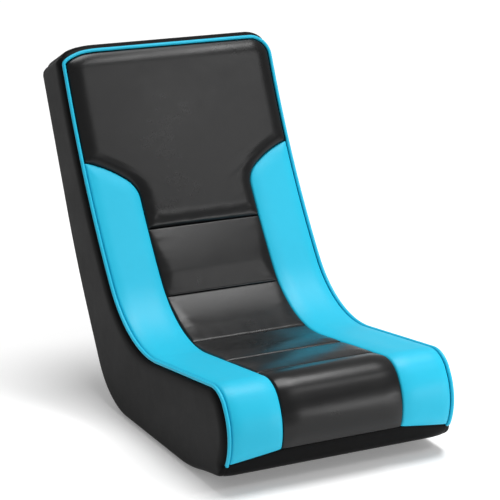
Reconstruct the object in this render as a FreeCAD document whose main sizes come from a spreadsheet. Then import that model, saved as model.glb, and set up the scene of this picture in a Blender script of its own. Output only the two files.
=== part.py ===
"""A floor rocker: one curved seat and back on a hidden timber frame, padded and covered.

X runs across the seat, -Y is the way the sitter faces and +Z is up. The origin is the
middle of the flat that the chair rests on. Lengths are in millimetres, angles in degrees.
A distance s is measured down the front face, from the seam at the top of the head.
"""
import FreeCAD, Part
import math
import os

from FreeCAD import Rotation, Vector

# Driving dimensions: alias, value, what it measures
SIZES = [
    ("half_width", 225.0, "centre plane to the outer face of a side cover"),
    ("head_run", 68.5, "straight length at the top of the front face"),
    ("head_recline", 23.5, "lean of the head from upright"),
    ("lumbar_recline", 36.3, "lean of the back where the lumbar curve begins"),
    ("back_run", 398.0, "length of the back curve along the front face"),
    ("lumbar_radius", 221.0, "hollow curve between back and seat"),
    ("seat_slope", 7.2, "rise of the seat towards its front"),
    ("seat_run", 230.0, "straight length of the seat"),
    ("knee_radius", 51.0, "round over the seat's front edge"),
    ("nose_face", 31.5, "lean of the front face where the nose curve begins"),
    ("nose_run", 6.0, "straight length between the knee and the nose curve"),
    ("nose_radius", 100.0, "curve of the nose"),
    ("nose_tuck", 28.5, "how far the nose turns under, from upright"),
    ("nose_height", 52.9, "floor to the seam under the nose"),
    ("toe_reach", 141.4, "nose seam to the front corner of the base, along Y"),
    ("toe_rise", 13.0, "rise of the underside ahead of the flat"),
    ("toe_radius", 300.0, "curve where the flat turns up at the front"),
    ("tuck_radius", 25.0, "curve under the nose seam"),
    ("heel_reach", 89.0, "corner of the seat and back lines to the base's rear corner"),
    ("heel_radius", 155.0, "curve from the flat up to the rear face"),
    ("rear_recline_low", 31.2, "lean of the lower rear face"),
    ("rear_recline_high", 24.3, "lean of the upper rear face"),
    ("rear_radius", 1500.0, "curve between the two rear faces"),
    ("head_depth", 108.0, "front seam to the rear face at the head"),
    ("corner_radius", 40.0, "top corners, at the middle of the piping"),
    ("piping_radius", 3.4, "sewn piping, outside"),
    ("piping_wall", 0.9, "thickness of the piping's skin"),
    ("cover_wall", 1.5, "thickness of every cover"),
    ("wadding", 7.0, "side and top wadding"),
    ("rear_wadding", 6.0, "wadding behind the rear and toe boards"),
    ("pad_depth", 14.0, "quilted pads, from their seams inwards"),
    ("core_depth", 30.0, "foam core behind the pads"),
    ("strap_thickness", 2.0, "elastic webbing and seat cloth"),
    ("strap_width", 50.0, "elastic webbing"),
    ("frame_thickness", 15.0, "plywood side frames"),
    ("board_thickness", 3.0, "bent rear and toe boards"),
    ("base_thickness", 9.0, "plywood base board"),
    ("rail_width", 40.0, "cross rails, along the front face"),
    ("rail_depth", 20.0, "cross rails, across the front face"),
    ("rail_setback", 3.0, "webbing to the front of a rail"),
    ("shoulder_rail_rise", 125.0, "seam under the head panel up to the shoulder rail"),
    ("lumbar_rail_drop", 77.0, "that seam down to the lumbar rail"),
    ("nose_rail_rise", 34.0, "seam under the nose up to the nose rail"),
    ("strap_first", 120.5, "s of the top strap"),
    ("strap_pitch", 156.0, "spacing of the straps"),
    ("cloth_start", 633.5, "s of the seat cloth's rear edge"),
    ("cloth_staple_pitch", 62.0, "spacing of the seat cloth's staples"),
    ("base_rail_inset", 20.0, "rear edge of the flat to the rear base rail"),
    ("bolster_width", 106.0, "outer face of a side cover to the seam beside the bolster"),
    ("wing_start", 216.5, "s where the bolster's top seam leaves the side"),
    ("wing_angle", 15.0, "slope of that seam at the side"),
    ("wing_turn", 40.0, "its slope where the tighter curve begins"),
    ("wing_radius", 225.0, "its first curve"),
    ("seam_first", 365.5, "s of the seam under the head panel"),
    ("channel_upper", 140.0, "length of the upper back channel"),
    ("channel_lower", 130.0, "length of the lower back channel"),
    ("channel_rear", 140.0, "length of the rear seat channel"),
    ("channel_front", 123.0, "length of the front seat channel"),
    ("head_crown", 11.0, "how far the head panel stands proud"),
    ("channel_crown", 9.0, "how far a channel stands proud"),
    ("bolster_crown", 9.0, "how far a bolster stands proud"),
    ("seam_gap", 0.6, "gap between pads at a curved seam"),
    ("clearance", 0.3, "gap at the piping"),
    ("screw_radius", 2.0, "wood screws"),
    ("screw_head", 4.0, "wood screw head radius"),
    ("screw_length", 48.0, "wood screws"),
    ("base_screw_length", 26.0, "wood screws through the base board"),
    ("staple_wire", 1.2, "staples"),
    ("staple_crown", 10.0, "staples"),
    ("staple_leg", 12.0, "staples"),
    ("cover_staple_leg", 8.0, "staples under the chair"),
    ("cover_staple_edge", 8.0, "edge of the base board to a staple"),
    ("cover_staple_pitch", 50.0, "spacing of the staples under the chair"),
    ("block_leg", 34.0, "glue blocks beside the base rails"),
]

EDGE_LEVEL = 0.5      # height of a pad at its own seam
LEAST_CROWN = 1.0     # crown that keeps a section's arcs true arcs
SHOULDER_SHARE = 0.3  # share of a pad's width that its rounded shoulder takes
SHOULDER_MOST = 26.0  # width of a shoulder on the wide pads
SHOULDER_LEVEL = 0.84  # share of the crown that a shoulder reaches
SWELL_POWER = 0.55    # how squarely a channel rises from its seams
OVERRUN = 4.0         # how far a cutting shape runs past what it cuts
TOP_MARGIN = 20.0     # construction length above the top seam
WING_STEPS = 6        # sections in each arc of the bolster's seam
TIP_WIDTH = 1.5       # width of the bolster's tip, where it starts
BOLSTER_FOOT = 60.0   # length over which a bolster flattens at its foot

doc = FreeCAD.newDocument("FloorRocker")
sheet = doc.addObject("Spreadsheet::Sheet", "Sizes")
for row, (alias, value, note) in enumerate(SIZES, start=1):
    sheet.set(f"A{row}", note)
    sheet.set(f"B{row}", str(value))
    sheet.setAlias(f"B{row}", alias)
doc.recompute()
parts = {}


def size(alias):
    """The value of one driving dimension."""
    return float(sheet.get(alias))


# Profiles in the YZ plane
# A path is a list of runs (y, z, heading, length, curvature). A heading of 0 points
# down and 90 points the way the sitter faces. Positive curvature turns towards 180.


def direction(heading):
    a = math.radians(heading)
    return -math.sin(a), -math.cos(a)


def normal(heading):
    """Unit vector to the sitter's side of a path that runs down the chair."""
    a = math.radians(heading)
    return -math.cos(a), math.sin(a)


def run_point(run, t):
    """Place and heading at a distance t along one run."""
    y, z, heading, _, bend = run
    if bend == 0:
        dy, dz = direction(heading)
        return y + dy * t, z + dz * t, heading
    ny, nz = normal(heading)
    turned = heading + math.degrees(bend * t)
    my, mz = normal(turned)
    return y + (ny - my) / bend, z + (nz - mz) / bend, turned


def walk(y, z, heading, steps):
    """A path from a start and steps of (length, radius, turn); a straight step has no radius."""
    path = []
    for length, radius, turn in steps:
        if radius:
            bend = math.copysign(1.0 / radius, turn)
            length = radius * math.radians(abs(turn))
        else:
            bend = 0.0
        path.append((y, z, heading, length, bend))
        y, z, heading = run_point(path[-1], length)
    return path


def path_length(path):
    return sum(run[3] for run in path)


def path_point(path, s):
    """Place and heading at a distance s along a path; the ends run on."""
    for run in path[:-1]:
        if s <= run[3]:
            return run_point(run, s)
        s -= run[3]
    return run_point(path[-1], s)


def path_between(path, start, end):
    """The part of a path from one distance to another. A start below 0 runs on upwards."""
    piece, done = [], 0.0
    for place, run in enumerate(path):
        first = start - done if place == 0 and start < 0 else max(start - done, 0.0)
        last = min(end - done, run[3])
        if last - first > 1e-6:
            y, z, heading = run_point(run, first)
            piece.append((y, z, heading, last - first, run[4]))
        done += run[3]
    return piece


def shifted(path, distance):
    """A path moved sideways, to the sitter's side if distance is positive."""
    moved = []
    for y, z, heading, length, bend in path:
        ny, nz = normal(heading)
        ratio = 1.0 - bend * distance
        moved.append((y + ny * distance, z + nz * distance, heading, length * ratio, bend / ratio))
    return moved


def filleted(corners, radii):
    """A path through corners, with each inner corner rounded to its radius."""
    points = [Vector(0, y, z) for y, z in corners]
    headings = []
    for a, b in zip(points, points[1:]):
        headings.append(math.degrees(math.atan2(-(b.y - a.y), -(b.z - a.z))) % 360)
    y, z = corners[0]
    path, spent = [], 0.0
    for k, (a, b) in enumerate(zip(points, points[1:])):
        turn = headings[k + 1] - headings[k] if k < len(radii) else 0.0
        radius = radii[k] if k < len(radii) else 0.0
        ahead = radius * math.tan(math.radians(abs(turn)) / 2)
        steps = [((b - a).Length - spent - ahead, 0, 0)]
        if radius:
            steps.append((0, radius, turn))
        path += walk(y, z, headings[k], steps)
        y, z, _ = run_point(path[-1], path[-1][3])
        spent = ahead
    return path


def crossing(point_a, heading_a, point_b, heading_b):
    """Where two lines in the YZ plane meet."""
    (ay, az), (by, bz) = point_a, point_b
    (uy, uz), (vy, vz) = direction(heading_a), direction(heading_b)
    t = ((by - ay) * vz - (bz - az) * vy) / (uy * vz - uz * vy)
    return ay + uy * t, az + uz * t


def front_face():
    """The seam line of the front face, from the head down to the nose."""
    low, slope = size("lumbar_recline"), size("seat_slope")
    steps = [
        (size("head_run"), 0, 0),
        (0, size("back_run") / math.radians(low - size("head_recline")), low - size("head_recline")),
        (0, size("lumbar_radius"), 90 + slope - low),
        (size("seat_run"), 0, 0),
        (0, size("knee_radius"), size("nose_face") - 90 - slope),
        (size("nose_run"), 0, 0),
        (0, size("nose_radius"), -size("nose_face") - size("nose_tuck")),
    ]
    trial = walk(0, 0, size("head_recline"), steps)
    y, z, _ = path_point(trial, path_length(trial))
    return walk(-y, size("nose_height") - z, size("head_recline"), steps)


def rear_face(front):
    """The outline behind and below, from the head's rear edge round to the nose seam."""
    y, z, heading = path_point(front, 0)
    ny, nz = normal(heading)
    top = (y - ny * size("head_depth"), z - nz * size("head_depth"))
    lumbar = front[2]
    seat = front[3]
    inner = crossing(lumbar[:2], size("lumbar_recline"), seat[:2], seat[2])
    heel = (inner[0] + size("heel_reach"), 0.0)
    bend = crossing(top, size("rear_recline_high"), heel, size("rear_recline_low"))
    toe = (size("toe_reach"), 0.0)
    nose = (0.0, size("nose_height"))
    tuck = crossing(toe, 90 + size("toe_rise"), nose, 180 - size("nose_tuck"))
    radii = [size("rear_radius"), size("heel_radius"), size("toe_radius"), size("tuck_radius")]
    return filleted([top, bend, heel, toe, tuck, nose], radii)


def moved_along_y(path, distance):
    return [(run[0] + distance, *run[1:]) for run in path]


FRONT = front_face()
REAR = rear_face(FRONT)
FLAT = 4  # the run of the rear path that lies on the floor
rest_middle = REAR[FLAT][0] - REAR[FLAT][3] / 2
FRONT = moved_along_y(FRONT, -rest_middle)
REAR = moved_along_y(REAR, -rest_middle)
FRONT_END = path_length(FRONT)
REAR_END = path_length(REAR)
FLAT_START = sum(run[3] for run in REAR[:FLAT])
FLAT_END = FLAT_START + REAR[FLAT][3]
REAR_SLANT = math.cos(math.radians(size("rear_recline_high") - size("head_recline")))

WALL = size("cover_wall")
CORE_FRONT = size("pad_depth")
CORE_BACK = CORE_FRONT + size("core_depth")
FRAME_FRONT = CORE_BACK + size("strap_thickness")
BOARD_OUT = WALL + size("rear_wadding")
FRAME_BACK = BOARD_OUT + size("board_thickness")
SIDE_IN = size("half_width") - WALL                       # inner face of a side cover
FRAME_OUT = SIDE_IN - size("wadding")                     # outer face of a side frame
FRAME_IN = FRAME_OUT - size("frame_thickness")
FRAME_TOP = size("corner_radius") + size("clearance")      # s of the side frames' top ends
INSERT_HALF = size("half_width") - size("bolster_width")   # centre plane to the seam beside a bolster
PIPING_X = size("half_width") - size("piping_radius")
SIDE_FRONT = size("piping_radius") + size("clearance")    # front edge of the side covers, behind the piping


# Widths across the chair, as expressions on the sheet
COVER_WIDTH = "2 * (Sizes.half_width - Sizes.cover_wall)"
FRAME_WIDTH = "2 * (Sizes.half_width - Sizes.cover_wall - Sizes.wadding)"
BETWEEN_FRAMES = "2 * (Sizes.half_width - Sizes.cover_wall - Sizes.wadding - Sizes.frame_thickness)"


# Drawing helpers


def run_edge(run, x):
    """One run as a line or an arc in the plane at x."""
    start, middle, end = (run_point(run, run[3] * share) for share in (0, 0.5, 1))
    a, m, b = (Vector(x, p[0], p[1]) for p in (start, middle, end))
    return Part.LineSegment(a, b) if run[4] == 0 else Part.Arc(a, m, b)


def loop_curves(outer, inner):
    """Curves of the closed loop between two paths that run the same way."""
    curves = [run_edge(run, 0) for run in outer]
    back = [run_edge(run, 0) for run in inner]
    out_start, out_end = run_point(outer[0], 0), run_point(outer[-1], outer[-1][3])
    in_start, in_end = run_point(inner[0], 0), run_point(inner[-1], inner[-1][3])
    curves.append(Part.LineSegment(Vector(0, *out_end[:2]), Vector(0, *in_end[:2])))
    curves += reversed(back)
    curves.append(Part.LineSegment(Vector(0, *in_start[:2]), Vector(0, *out_start[:2])))
    return curves


def in_sketch(curve):
    """A curve of the YZ plane in a sketch's own two axes."""
    turn = FreeCAD.Placement(Vector(), Rotation(Vector(0, 1, 0), Vector(0, 0, 1), Vector(1, 0, 0), "XYZ"))
    flat = curve.copy()
    flat.transform(turn.inverse().toMatrix())
    return flat


def plane_of(body, role):
    return next(f for f in body.Origin.OriginFeatures if f.Role == role)


def profile_body(name, curves, width, start):
    """A body padded along X from a closed loop in the YZ plane; width and start are expressions."""
    body = doc.addObject("PartDesign::Body", name)
    sketch = body.newObject("Sketcher::SketchObject", name + "_outline")
    sketch.AttachmentSupport = [(plane_of(body, "YZ_Plane"), "")]
    sketch.MapMode = "FlatFace"
    sketch.addGeometry([in_sketch(curve) for curve in curves], False)
    pad = body.newObject("PartDesign::Pad", name + "_pad")
    pad.Profile = sketch
    pad.setExpression("Length", width)
    body.setExpression("Placement.Base.x", start)
    body.Tip = pad
    body.Label = name
    return body


def prism(outer, inner, half):
    """A plain solid between two paths, centred on X."""
    edges = [curve.toShape() for curve in loop_curves(outer, inner)]
    face = Part.Face(Part.Wire(Part.__sortEdges__(edges)))
    solid = face.extrude(Vector(2 * half, 0, 0))
    solid.translate(Vector(-half, 0, 0))
    return solid


def feature(name, shape):
    """A sub-part whose shape comes from its own function."""
    made = doc.addObject("Part::Feature", name)
    made.Label = name
    made.Shape = shape
    return made


def keep(made):
    """Marks an object as a sub-part to write out."""
    parts[made.Label] = made
    return made


# The head's own plane: x across and u up from the top seam


def head_point(x, u, depth):
    """A point by its distance across, up from the top seam and in from the front face."""
    y, z, heading = path_point(FRONT, 0)
    uy, uz = direction(heading)
    ny, nz = normal(heading)
    return Vector(x, y - uy * u - ny * depth, z - uz * u - nz * depth)


def arch_curves(inset, foot, depth):
    """An open arch: up one side, round the corners and down the other, inset from the outside."""
    half = size("half_width") - inset
    top = size("piping_radius") - inset
    radius = size("corner_radius") + size("piping_radius") - inset
    slant = radius * (1 - math.sqrt(0.5))
    at = lambda x, u: head_point(x, u, depth)
    return [
        Part.LineSegment(at(-half, -foot), at(-half, top - radius)),
        Part.Arc(at(-half, top - radius), at(slant - half, top - slant), at(radius - half, top)),
        Part.LineSegment(at(radius - half, top), at(half - radius, top)),
        Part.Arc(at(half - radius, top), at(half - slant, top - slant), at(half, top - radius)),
        Part.LineSegment(at(half, top - radius), at(half, -foot)),
    ]


def arch_solid(outside, inside, foot, depth_front, depth_back):
    """A band that follows the arch between two insets, as deep as the head."""
    outer = [curve.toShape() for curve in arch_curves(outside, foot, depth_front)]
    inner = [curve.toShape() for curve in arch_curves(inside, foot, depth_front)]
    ends = []
    for place in (0, -1):
        a = outer[place].Vertexes[place].Point
        b = inner[place].Vertexes[place].Point
        ends.append(Part.LineSegment(a, b).toShape())
    face = Part.Face(Part.Wire(Part.__sortEdges__(outer + inner + ends)))
    return face.extrude(head_point(0, 0, depth_back) - head_point(0, 0, depth_front))


def head_block(inset):
    """Everything inside the arch at an inset, to trim pieces to the rounded top corners."""
    ahead = -FRONT_END
    curves = [curve.toShape() for curve in arch_curves(inset, FRONT_END, ahead)]
    a, b = curves[0].Vertexes[0].Point, curves[-1].Vertexes[-1].Point
    face = Part.Face(Part.Wire(Part.__sortEdges__(curves + [Part.LineSegment(a, b).toShape()])))
    return face.extrude(head_point(0, 0, FRONT_END) - head_point(0, 0, ahead))


# Padded pieces, lofted down the front face


def pad_section(s, left, right, crown, depth):
    """A closed section across a pad: crowned in front, square at its sides and back."""
    y, z, heading = path_point(FRONT, s)
    ny, nz = normal(heading)
    crown = max(crown, LEAST_CROWN)
    shoulder = min(SHOULDER_SHARE * (right - left), SHOULDER_MOST)
    top = EDGE_LEVEL + (crown - EDGE_LEVEL) * SHOULDER_LEVEL
    at = lambda x, n: Vector(x, y + ny * n, z + nz * n)
    rise = EDGE_LEVEL + (top - EDGE_LEVEL) * 0.66
    corners = [at(left, -depth), at(left, EDGE_LEVEL), at(left + shoulder, top), at(right - shoulder, top),
               at(right, EDGE_LEVEL), at(right, -depth)]
    return Part.Wire([
        Part.LineSegment(corners[0], corners[1]).toShape(),
        Part.Arc(corners[1], at(left + shoulder * 0.36, rise), corners[2]).toShape(),
        Part.Arc(corners[2], at((left + right) / 2, crown), corners[3]).toShape(),
        Part.Arc(corners[3], at(right - shoulder * 0.36, rise), corners[4]).toShape(),
        Part.LineSegment(corners[4], corners[5]).toShape(),
        Part.LineSegment(corners[5], corners[0]).toShape(),
    ])


def pad_solid(groups, wall):
    """A pad lofted group by group; a station is (s, left, right, crown), and wall shrinks it all round."""
    first, last = groups[0][0][0], groups[-1][-1][0]
    shrink = (last - first - 2 * wall) / (last - first)
    lofts = []
    for group in groups:
        wires = []
        for s, left, right, crown in group:
            inner_s = first + wall + (s - first) * shrink
            wires.append(pad_section(inner_s, left + wall, right - wall, crown - wall, CORE_FRONT + OVERRUN))
        lofts.append(Part.makeLoft(wires, True, False))
    if len(lofts) == 1:
        return lofts[0]
    return lofts[0].fuse(lofts[1:]).removeSplitter()


def spaced(start, end, pitch):
    """Places from start up to, but not at, end, about a pitch apart."""
    count = max(1, round((end - start) / pitch))
    return [start + (end - start) * k / count for k in range(count)]


def pad_pair(name, groups, reach):
    """A pad's cover and its foam filling, cut square to the core and kept within its reach in X."""
    front = path_between(FRONT, -TOP_MARGIN, FRONT_END)
    outside = pad_solid(groups, 0.0)
    inside = pad_solid(groups, WALL)
    room = prism(shifted(front, TOP_MARGIN), shifted(front, -CORE_FRONT), reach)
    inner_room = prism(shifted(front, TOP_MARGIN), shifted(front, -CORE_FRONT), reach - WALL)
    inside = inside.common(inner_room)
    keep(feature(name + "_cover", outside.common(room).cut(inside)))
    keep(feature(name + "_foam", inside))


def swell(share):
    """Crown along a channel, from 0 at its seams to 1 between them."""
    return min(1.0, math.sin(math.pi * min(max(share, 0.0), 1.0)) ** SWELL_POWER)


def channel_pads():
    """The quilted channels between the bolsters, one after another down the front."""
    half = INSERT_HALF - size("seam_gap") / 2
    s = size("seam_first")
    shares = (0.0, 0.06, 0.2, 0.5, 0.8, 0.94, 1.0)
    for name, alias in (("back_upper", "channel_upper"), ("back_lower", "channel_lower"),
                        ("seat_rear", "channel_rear"), ("seat_front", "channel_front")):
        length = size(alias)
        crown = size("channel_crown")
        stations = [(s + share * length, -half, half, crown * swell(share)) for share in shares]
        pad_pair(name, [stations], half)
        s += length
    return s


def nose_pad(start):
    """The panel that rolls over the front edge and down the nose."""
    half = INSERT_HALF - size("seam_gap") / 2
    length = FRONT_END - start
    stations = []
    for share in (0.0, 0.04, 0.12, 0.22, 0.32, 0.42, 0.55, 0.7, 0.84, 0.95, 1.0):
        stations.append((start + share * length, -half, half, size("channel_crown") * swell(share)))
    pad_pair("nose", [stations], half)


def wing_bends():
    """The bolster's seam: s, half width and slope at its start, at its bend and at its end."""
    first, turn, radius = size("wing_angle"), size("wing_turn"), size("wing_radius")
    sin, cos = (lambda a: math.sin(math.radians(a))), (lambda a: math.cos(math.radians(a)))
    start = (size("wing_start"), size("half_width"), first)
    middle_x = start[1] - radius * (sin(turn) - sin(first))
    middle = (start[0] + radius * (cos(first) - cos(turn)), middle_x, turn)
    tight = (middle_x - INSERT_HALF) / (1 - sin(turn))
    return start, middle, (middle[0] + tight * cos(turn), INSERT_HALF, 90.0)


def wing_points(count):
    """Points (s, half width) along the bolster's seam, evenly turned within each of its two arcs."""
    points = []
    bends = wing_bends()
    for (s, x, first), (s_end, _, last) in zip(bends, bends[1:]):
        a, b = math.radians(first), math.radians(last)
        radius = (s_end - s) / (math.cos(a) - math.cos(b))
        for k in range(count):
            t = a + (b - a) * k / count
            down, inwards = math.cos(a) - math.cos(t), math.sin(t) - math.sin(a)
            points.append((s + radius * down, x - radius * inwards))
    return points + [bends[-1][:2]]


def head_pad():
    """The wide panel behind the head and shoulders, down to the first channel."""
    gap, crown = size("seam_gap"), size("head_crown")
    inset = WALL + size("wadding") + size("clearance") + gap
    top = inset - size("piping_radius")
    radius = size("corner_radius") - top
    first = size("seam_first")
    wide, narrow = size("half_width") - inset, INSERT_HALF - gap
    corner = []
    for share in (0.0, 0.04, 0.14, 0.34, 0.62, 0.85, 1.0):
        drop = share * radius
        half = wide - radius + math.sqrt(radius * radius - (radius - drop) ** 2)
        corner.append((top + drop, -half, half, crown * (0.1 + 0.9 * swell(0.5 * share))))
    wing = [(s, gap - x, x - gap, crown) for s, x in wing_points(WING_STEPS) if x - gap < wide - TIP_WIDTH]
    wing.insert(0, (size("wing_start"), -wide, wide, crown))
    upper = [(corner[-1][0] + (wing[0][0] - corner[-1][0]) * share, -wide, wide, crown)
             for share in (0.0, 0.33, 0.67, 1.0)]
    fall = wing[-1][0]
    lower = [(fall + (first - fall) * share, -narrow, narrow, crown * height)
             for share, height in ((0.0, 1.0), (0.4, 0.97), (0.75, 0.8), (0.93, 0.5), (1.0, 0.0))]
    pad_pair("head", [corner, upper, wing, lower], wide)


def bolster_pad(side, name):
    """A side bolster, from its tip beside the shoulders down to the nose."""
    gap = size("seam_gap")
    outer, narrow = FRAME_OUT - size("clearance"), INSERT_HALF + gap
    wing = [(s, x + gap) for s, x in wing_points(WING_STEPS) if x + gap < outer - TIP_WIDTH]
    tip, end = wing[0][0], wing[-1][0]
    knee = FRONT_END - path_length(FRONT[4:])
    places = spaced(end, knee, 45.0) + spaced(knee, FRONT_END - BOLSTER_FOOT, 15.0)
    places += [FRONT_END - BOLSTER_FOOT * share for share in (1.0, 0.6, 0.3, 0.1, 0.0)]
    groups = []
    for points in (wing, [(s, narrow) for s in places]):
        group = []
        for s, inner in points:
            from_tip = (s - tip) / (end - tip)
            from_foot = (FRONT_END - s) / BOLSTER_FOOT
            crown = size("bolster_crown") * swell(0.5 * min(from_tip, from_foot, 1.0))
            edges = (inner, outer) if side > 0 else (-outer, -inner)
            group.append((s, *edges, crown))
        groups.append(group)
    pad_pair(name, groups, outer)


# Piping round the front face


def piping_path():
    """The middle of the piping: up one side, over the head and down the other side."""
    sides = []
    corner = size("corner_radius")
    for x in (-PIPING_X, PIPING_X):
        side = path_between(FRONT, corner, FRONT_END)
        sides.append([run_edge(run, x).toShape() for run in side])
    slant = corner * (1 - math.sqrt(0.5))
    arch = []
    for sign in (-1, 1):
        a = head_point(sign * PIPING_X, -corner, 0)
        m = head_point(sign * (PIPING_X - slant), -slant, 0)
        b = head_point(sign * (PIPING_X - corner), 0, 0)
        arch.append(Part.Arc(a, m, b).toShape())
    across = Part.LineSegment(head_point(corner - PIPING_X, 0, 0), head_point(PIPING_X - corner, 0, 0))
    return Part.Wire(Part.__sortEdges__(sides[0] + [arch[0], across.toShape(), arch[1]] + sides[1]))


def piping():
    """The piping's skin and the cord inside it."""
    path = piping_path()
    y, z, heading = path_point(FRONT, FRONT_END)
    along = Vector(0, *direction(heading))
    radius, core = size("piping_radius"), size("piping_radius") - size("piping_wall")
    foot = Vector(-PIPING_X, y, z)
    solids = []
    for r in (radius, core):
        ring = Part.Wire(Part.makeCircle(r, foot, along))
        solids.append(path.makePipeShell([ring], True, False))
    keep(feature("piping", solids[0].cut(solids[1])))
    keep(feature("piping_cord", solids[1]))


# Covers, wadding and boards at the sides, top, rear and underside


def side_outline(front_depth, rear_depth, start):
    """A closed side outline at depths from the front and rear faces, from s = start down."""
    front = path_between(FRONT, start, FRONT_END)
    rear = path_between(REAR, start / REAR_SLANT, REAR_END)
    return loop_curves(shifted(front, -front_depth), shifted(rear, rear_depth))


def side_covers():
    """A flat cover on each side and the wadding under it, below the top cover's ends."""
    cover_in = "Sizes.half_width - Sizes.cover_wall"
    for side, cover_start, fill_start in (
        ("left", "-Sizes.half_width", "Sizes.cover_wall - Sizes.half_width"),
        ("right", cover_in, cover_in + " - Sizes.wadding"),
    ):
        outline = side_outline(SIDE_FRONT, 0.0, size("head_run"))
        keep(profile_body("side_cover_" + side, outline, "Sizes.cover_wall", cover_start))
        outline = side_outline(SIDE_FRONT, WALL, size("head_run"))
        keep(profile_body("side_wadding_" + side, outline, "Sizes.wadding", fill_start))


def top_covers():
    """The band over the head and round its corners, and the wadding under it."""
    foot, far = size("head_run"), size("head_depth") + TOP_MARGIN
    for name, outside, inside, rear_depth in (
        ("top_cover", 0.0, WALL, 0.0),
        ("top_wadding", WALL, WALL + size("wadding"), WALL),
    ):
        between = prism(
            shifted(path_between(FRONT, -TOP_MARGIN, foot), -SIDE_FRONT),
            shifted(path_between(REAR, -TOP_MARGIN, foot / REAR_SLANT), rear_depth),
            size("half_width") + OVERRUN,
        )
        band = arch_solid(outside, inside, foot, -OVERRUN, far)
        keep(feature(name, band.common(between)))


def rear_layers():
    """Cover, wadding and board behind the back, from the head down to the flat."""
    inset = WALL + size("wadding")
    piece = path_between(REAR, -TOP_MARGIN, FLAT_START)
    for name, out, deep, half, corner_inset in (
        ("rear_cover", 0.0, WALL, SIDE_IN, WALL),
        ("rear_wadding", WALL, BOARD_OUT, FRAME_OUT, inset),
        ("rear_board", BOARD_OUT, FRAME_BACK, FRAME_OUT, inset),
    ):
        layer = prism(shifted(piece, out), shifted(piece, deep), half)
        keep(feature(name, layer.common(head_block(corner_inset))))


def toe_layers():
    """Cover, wadding and board from the flat up to the seam under the nose."""
    piece = path_between(REAR, FLAT_END, REAR_END)
    for name, out, deep, width in (
        ("toe_cover", 0.0, WALL, COVER_WIDTH),
        ("toe_wadding", WALL, BOARD_OUT, FRAME_WIDTH),
        ("toe_board", BOARD_OUT, FRAME_BACK, FRAME_WIDTH),
    ):
        outline = loop_curves(shifted(piece, out), shifted(piece, deep))
        keep(profile_body(name, outline, width, "-0.5 * " + width))


def under_cover():
    """The cloth that the chair rests on, stapled up into the base board."""
    piece = path_between(REAR, FLAT_START, FLAT_END)
    outline = loop_curves(piece, shifted(piece, WALL))
    cloth = profile_body("under_cover_cloth", outline, COVER_WIDTH, "-0.5 * " + COVER_WIDTH)
    keep(cut_by("under_cover", cloth, [parts["cover_staples"]]))


def core():
    """The foam slab behind all the pads, its top corners rounded."""
    slab = prism(shifted(FRONT, -CORE_FRONT), shifted(FRONT, -CORE_BACK), FRAME_OUT)
    keep(feature("core_foam", slab.common(head_block(WALL + size("wadding")))))


# The timber frame


def rail_places():
    """Name, s of the middle and depth of the front of each rail that follows the front face."""
    first, half = size("seam_first"), size("rail_width") / 2
    depth = FRAME_FRONT + size("rail_setback")
    curve = size("nose_radius") - FRAME_FRONT
    return [
        ("head_rail", FRAME_TOP + half, depth),
        ("shoulder_rail", first - size("shoulder_rail_rise"), depth),
        ("lumbar_rail", first + size("lumbar_rail_drop"), depth),
        ("nose_rail", FRONT_END - size("nose_rail_rise"), depth + curve - math.sqrt(curve ** 2 - half ** 2)),
    ]


def rail_frame(s, depth):
    """Placement of a rail: its box runs across, down the face and inwards from its left end."""
    y, z, heading = path_point(FRONT, s)
    ny, nz = normal(heading)
    dy, dz = direction(heading)
    half = size("rail_width") / 2
    corner = Vector(-FRAME_IN, y - ny * depth - dy * half, z - nz * depth - dz * half)
    turn = Rotation(Vector(1, 0, 0), Vector(0, dy, dz), Vector(0, -ny, -nz), "XYZ")
    return FreeCAD.Placement(corner, turn)


def wood_screw(length):
    """A countersunk screw with its head's face at the origin, pointing along -Z."""
    r, head = size("screw_radius"), size("screw_head")
    cone = Part.makeCone(r, head, head - r)
    cone.translate(Vector(0, 0, r - head))
    shank = Part.makeCylinder(r, length - 2 * r)
    shank.translate(Vector(0, 0, 2 * r - length))
    tip = Part.makeCone(0.2, r, 2 * r)
    tip.translate(Vector(0, 0, -length))
    return cone.fuse([shank, tip]).removeSplitter()


def rail_box(name, placement):
    """A rail as a box between the side frames."""
    box = doc.addObject("Part::Box", name + "_timber")
    box.setExpression("Length", BETWEEN_FRAMES)
    box.setExpression("Width", "Sizes.rail_width")
    box.setExpression("Height", "Sizes.rail_depth")
    box.Placement = placement
    return box


def base_rail_places():
    """Y of each base rail's rear side, at the ends of the flat."""
    half = REAR[FLAT][3] / 2
    rear = half - size("rail_width") - size("base_rail_inset")
    return [("base_rail_front", -half), ("base_rail_rear", rear)]


def rails_and_screws():
    """Every rail with its screws through the side frames, and the screws under the base."""
    screws, rails = [], []
    pattern = wood_screw(size("screw_length"))
    quarter = size("rail_width") / 4
    for name, s, depth in rail_places():
        rails.append((name, rail_box(name, rail_frame(s, depth))))
        y, z, heading = path_point(FRONT, s)
        (ny, nz), (dy, dz) = normal(heading), direction(heading)
        inward = depth + size("rail_depth") / 2
        for step in (-quarter, quarter):
            screws += screw_pair(pattern, y - ny * inward + dy * step, z - nz * inward + dz * step)
    floor = WALL + size("base_thickness")
    for name, y in base_rail_places():
        rails.append((name, rail_box(name, FreeCAD.Placement(Vector(-FRAME_IN, y, floor), Rotation()))))
        for step in (quarter, 3 * quarter):
            screws += screw_pair(pattern, y + step, floor + size("rail_depth") / 2)
    keep(feature("rail_screws", Part.Compound(screws)))
    keep(feature("base_screws", Part.Compound(base_screws())))
    for name, timber in rails:
        fasteners = [parts["rail_screws"]]
        if name.startswith("base"):
            fasteners.append(parts["base_screws"])
        keep(cut_by(name, timber, fasteners))


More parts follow.
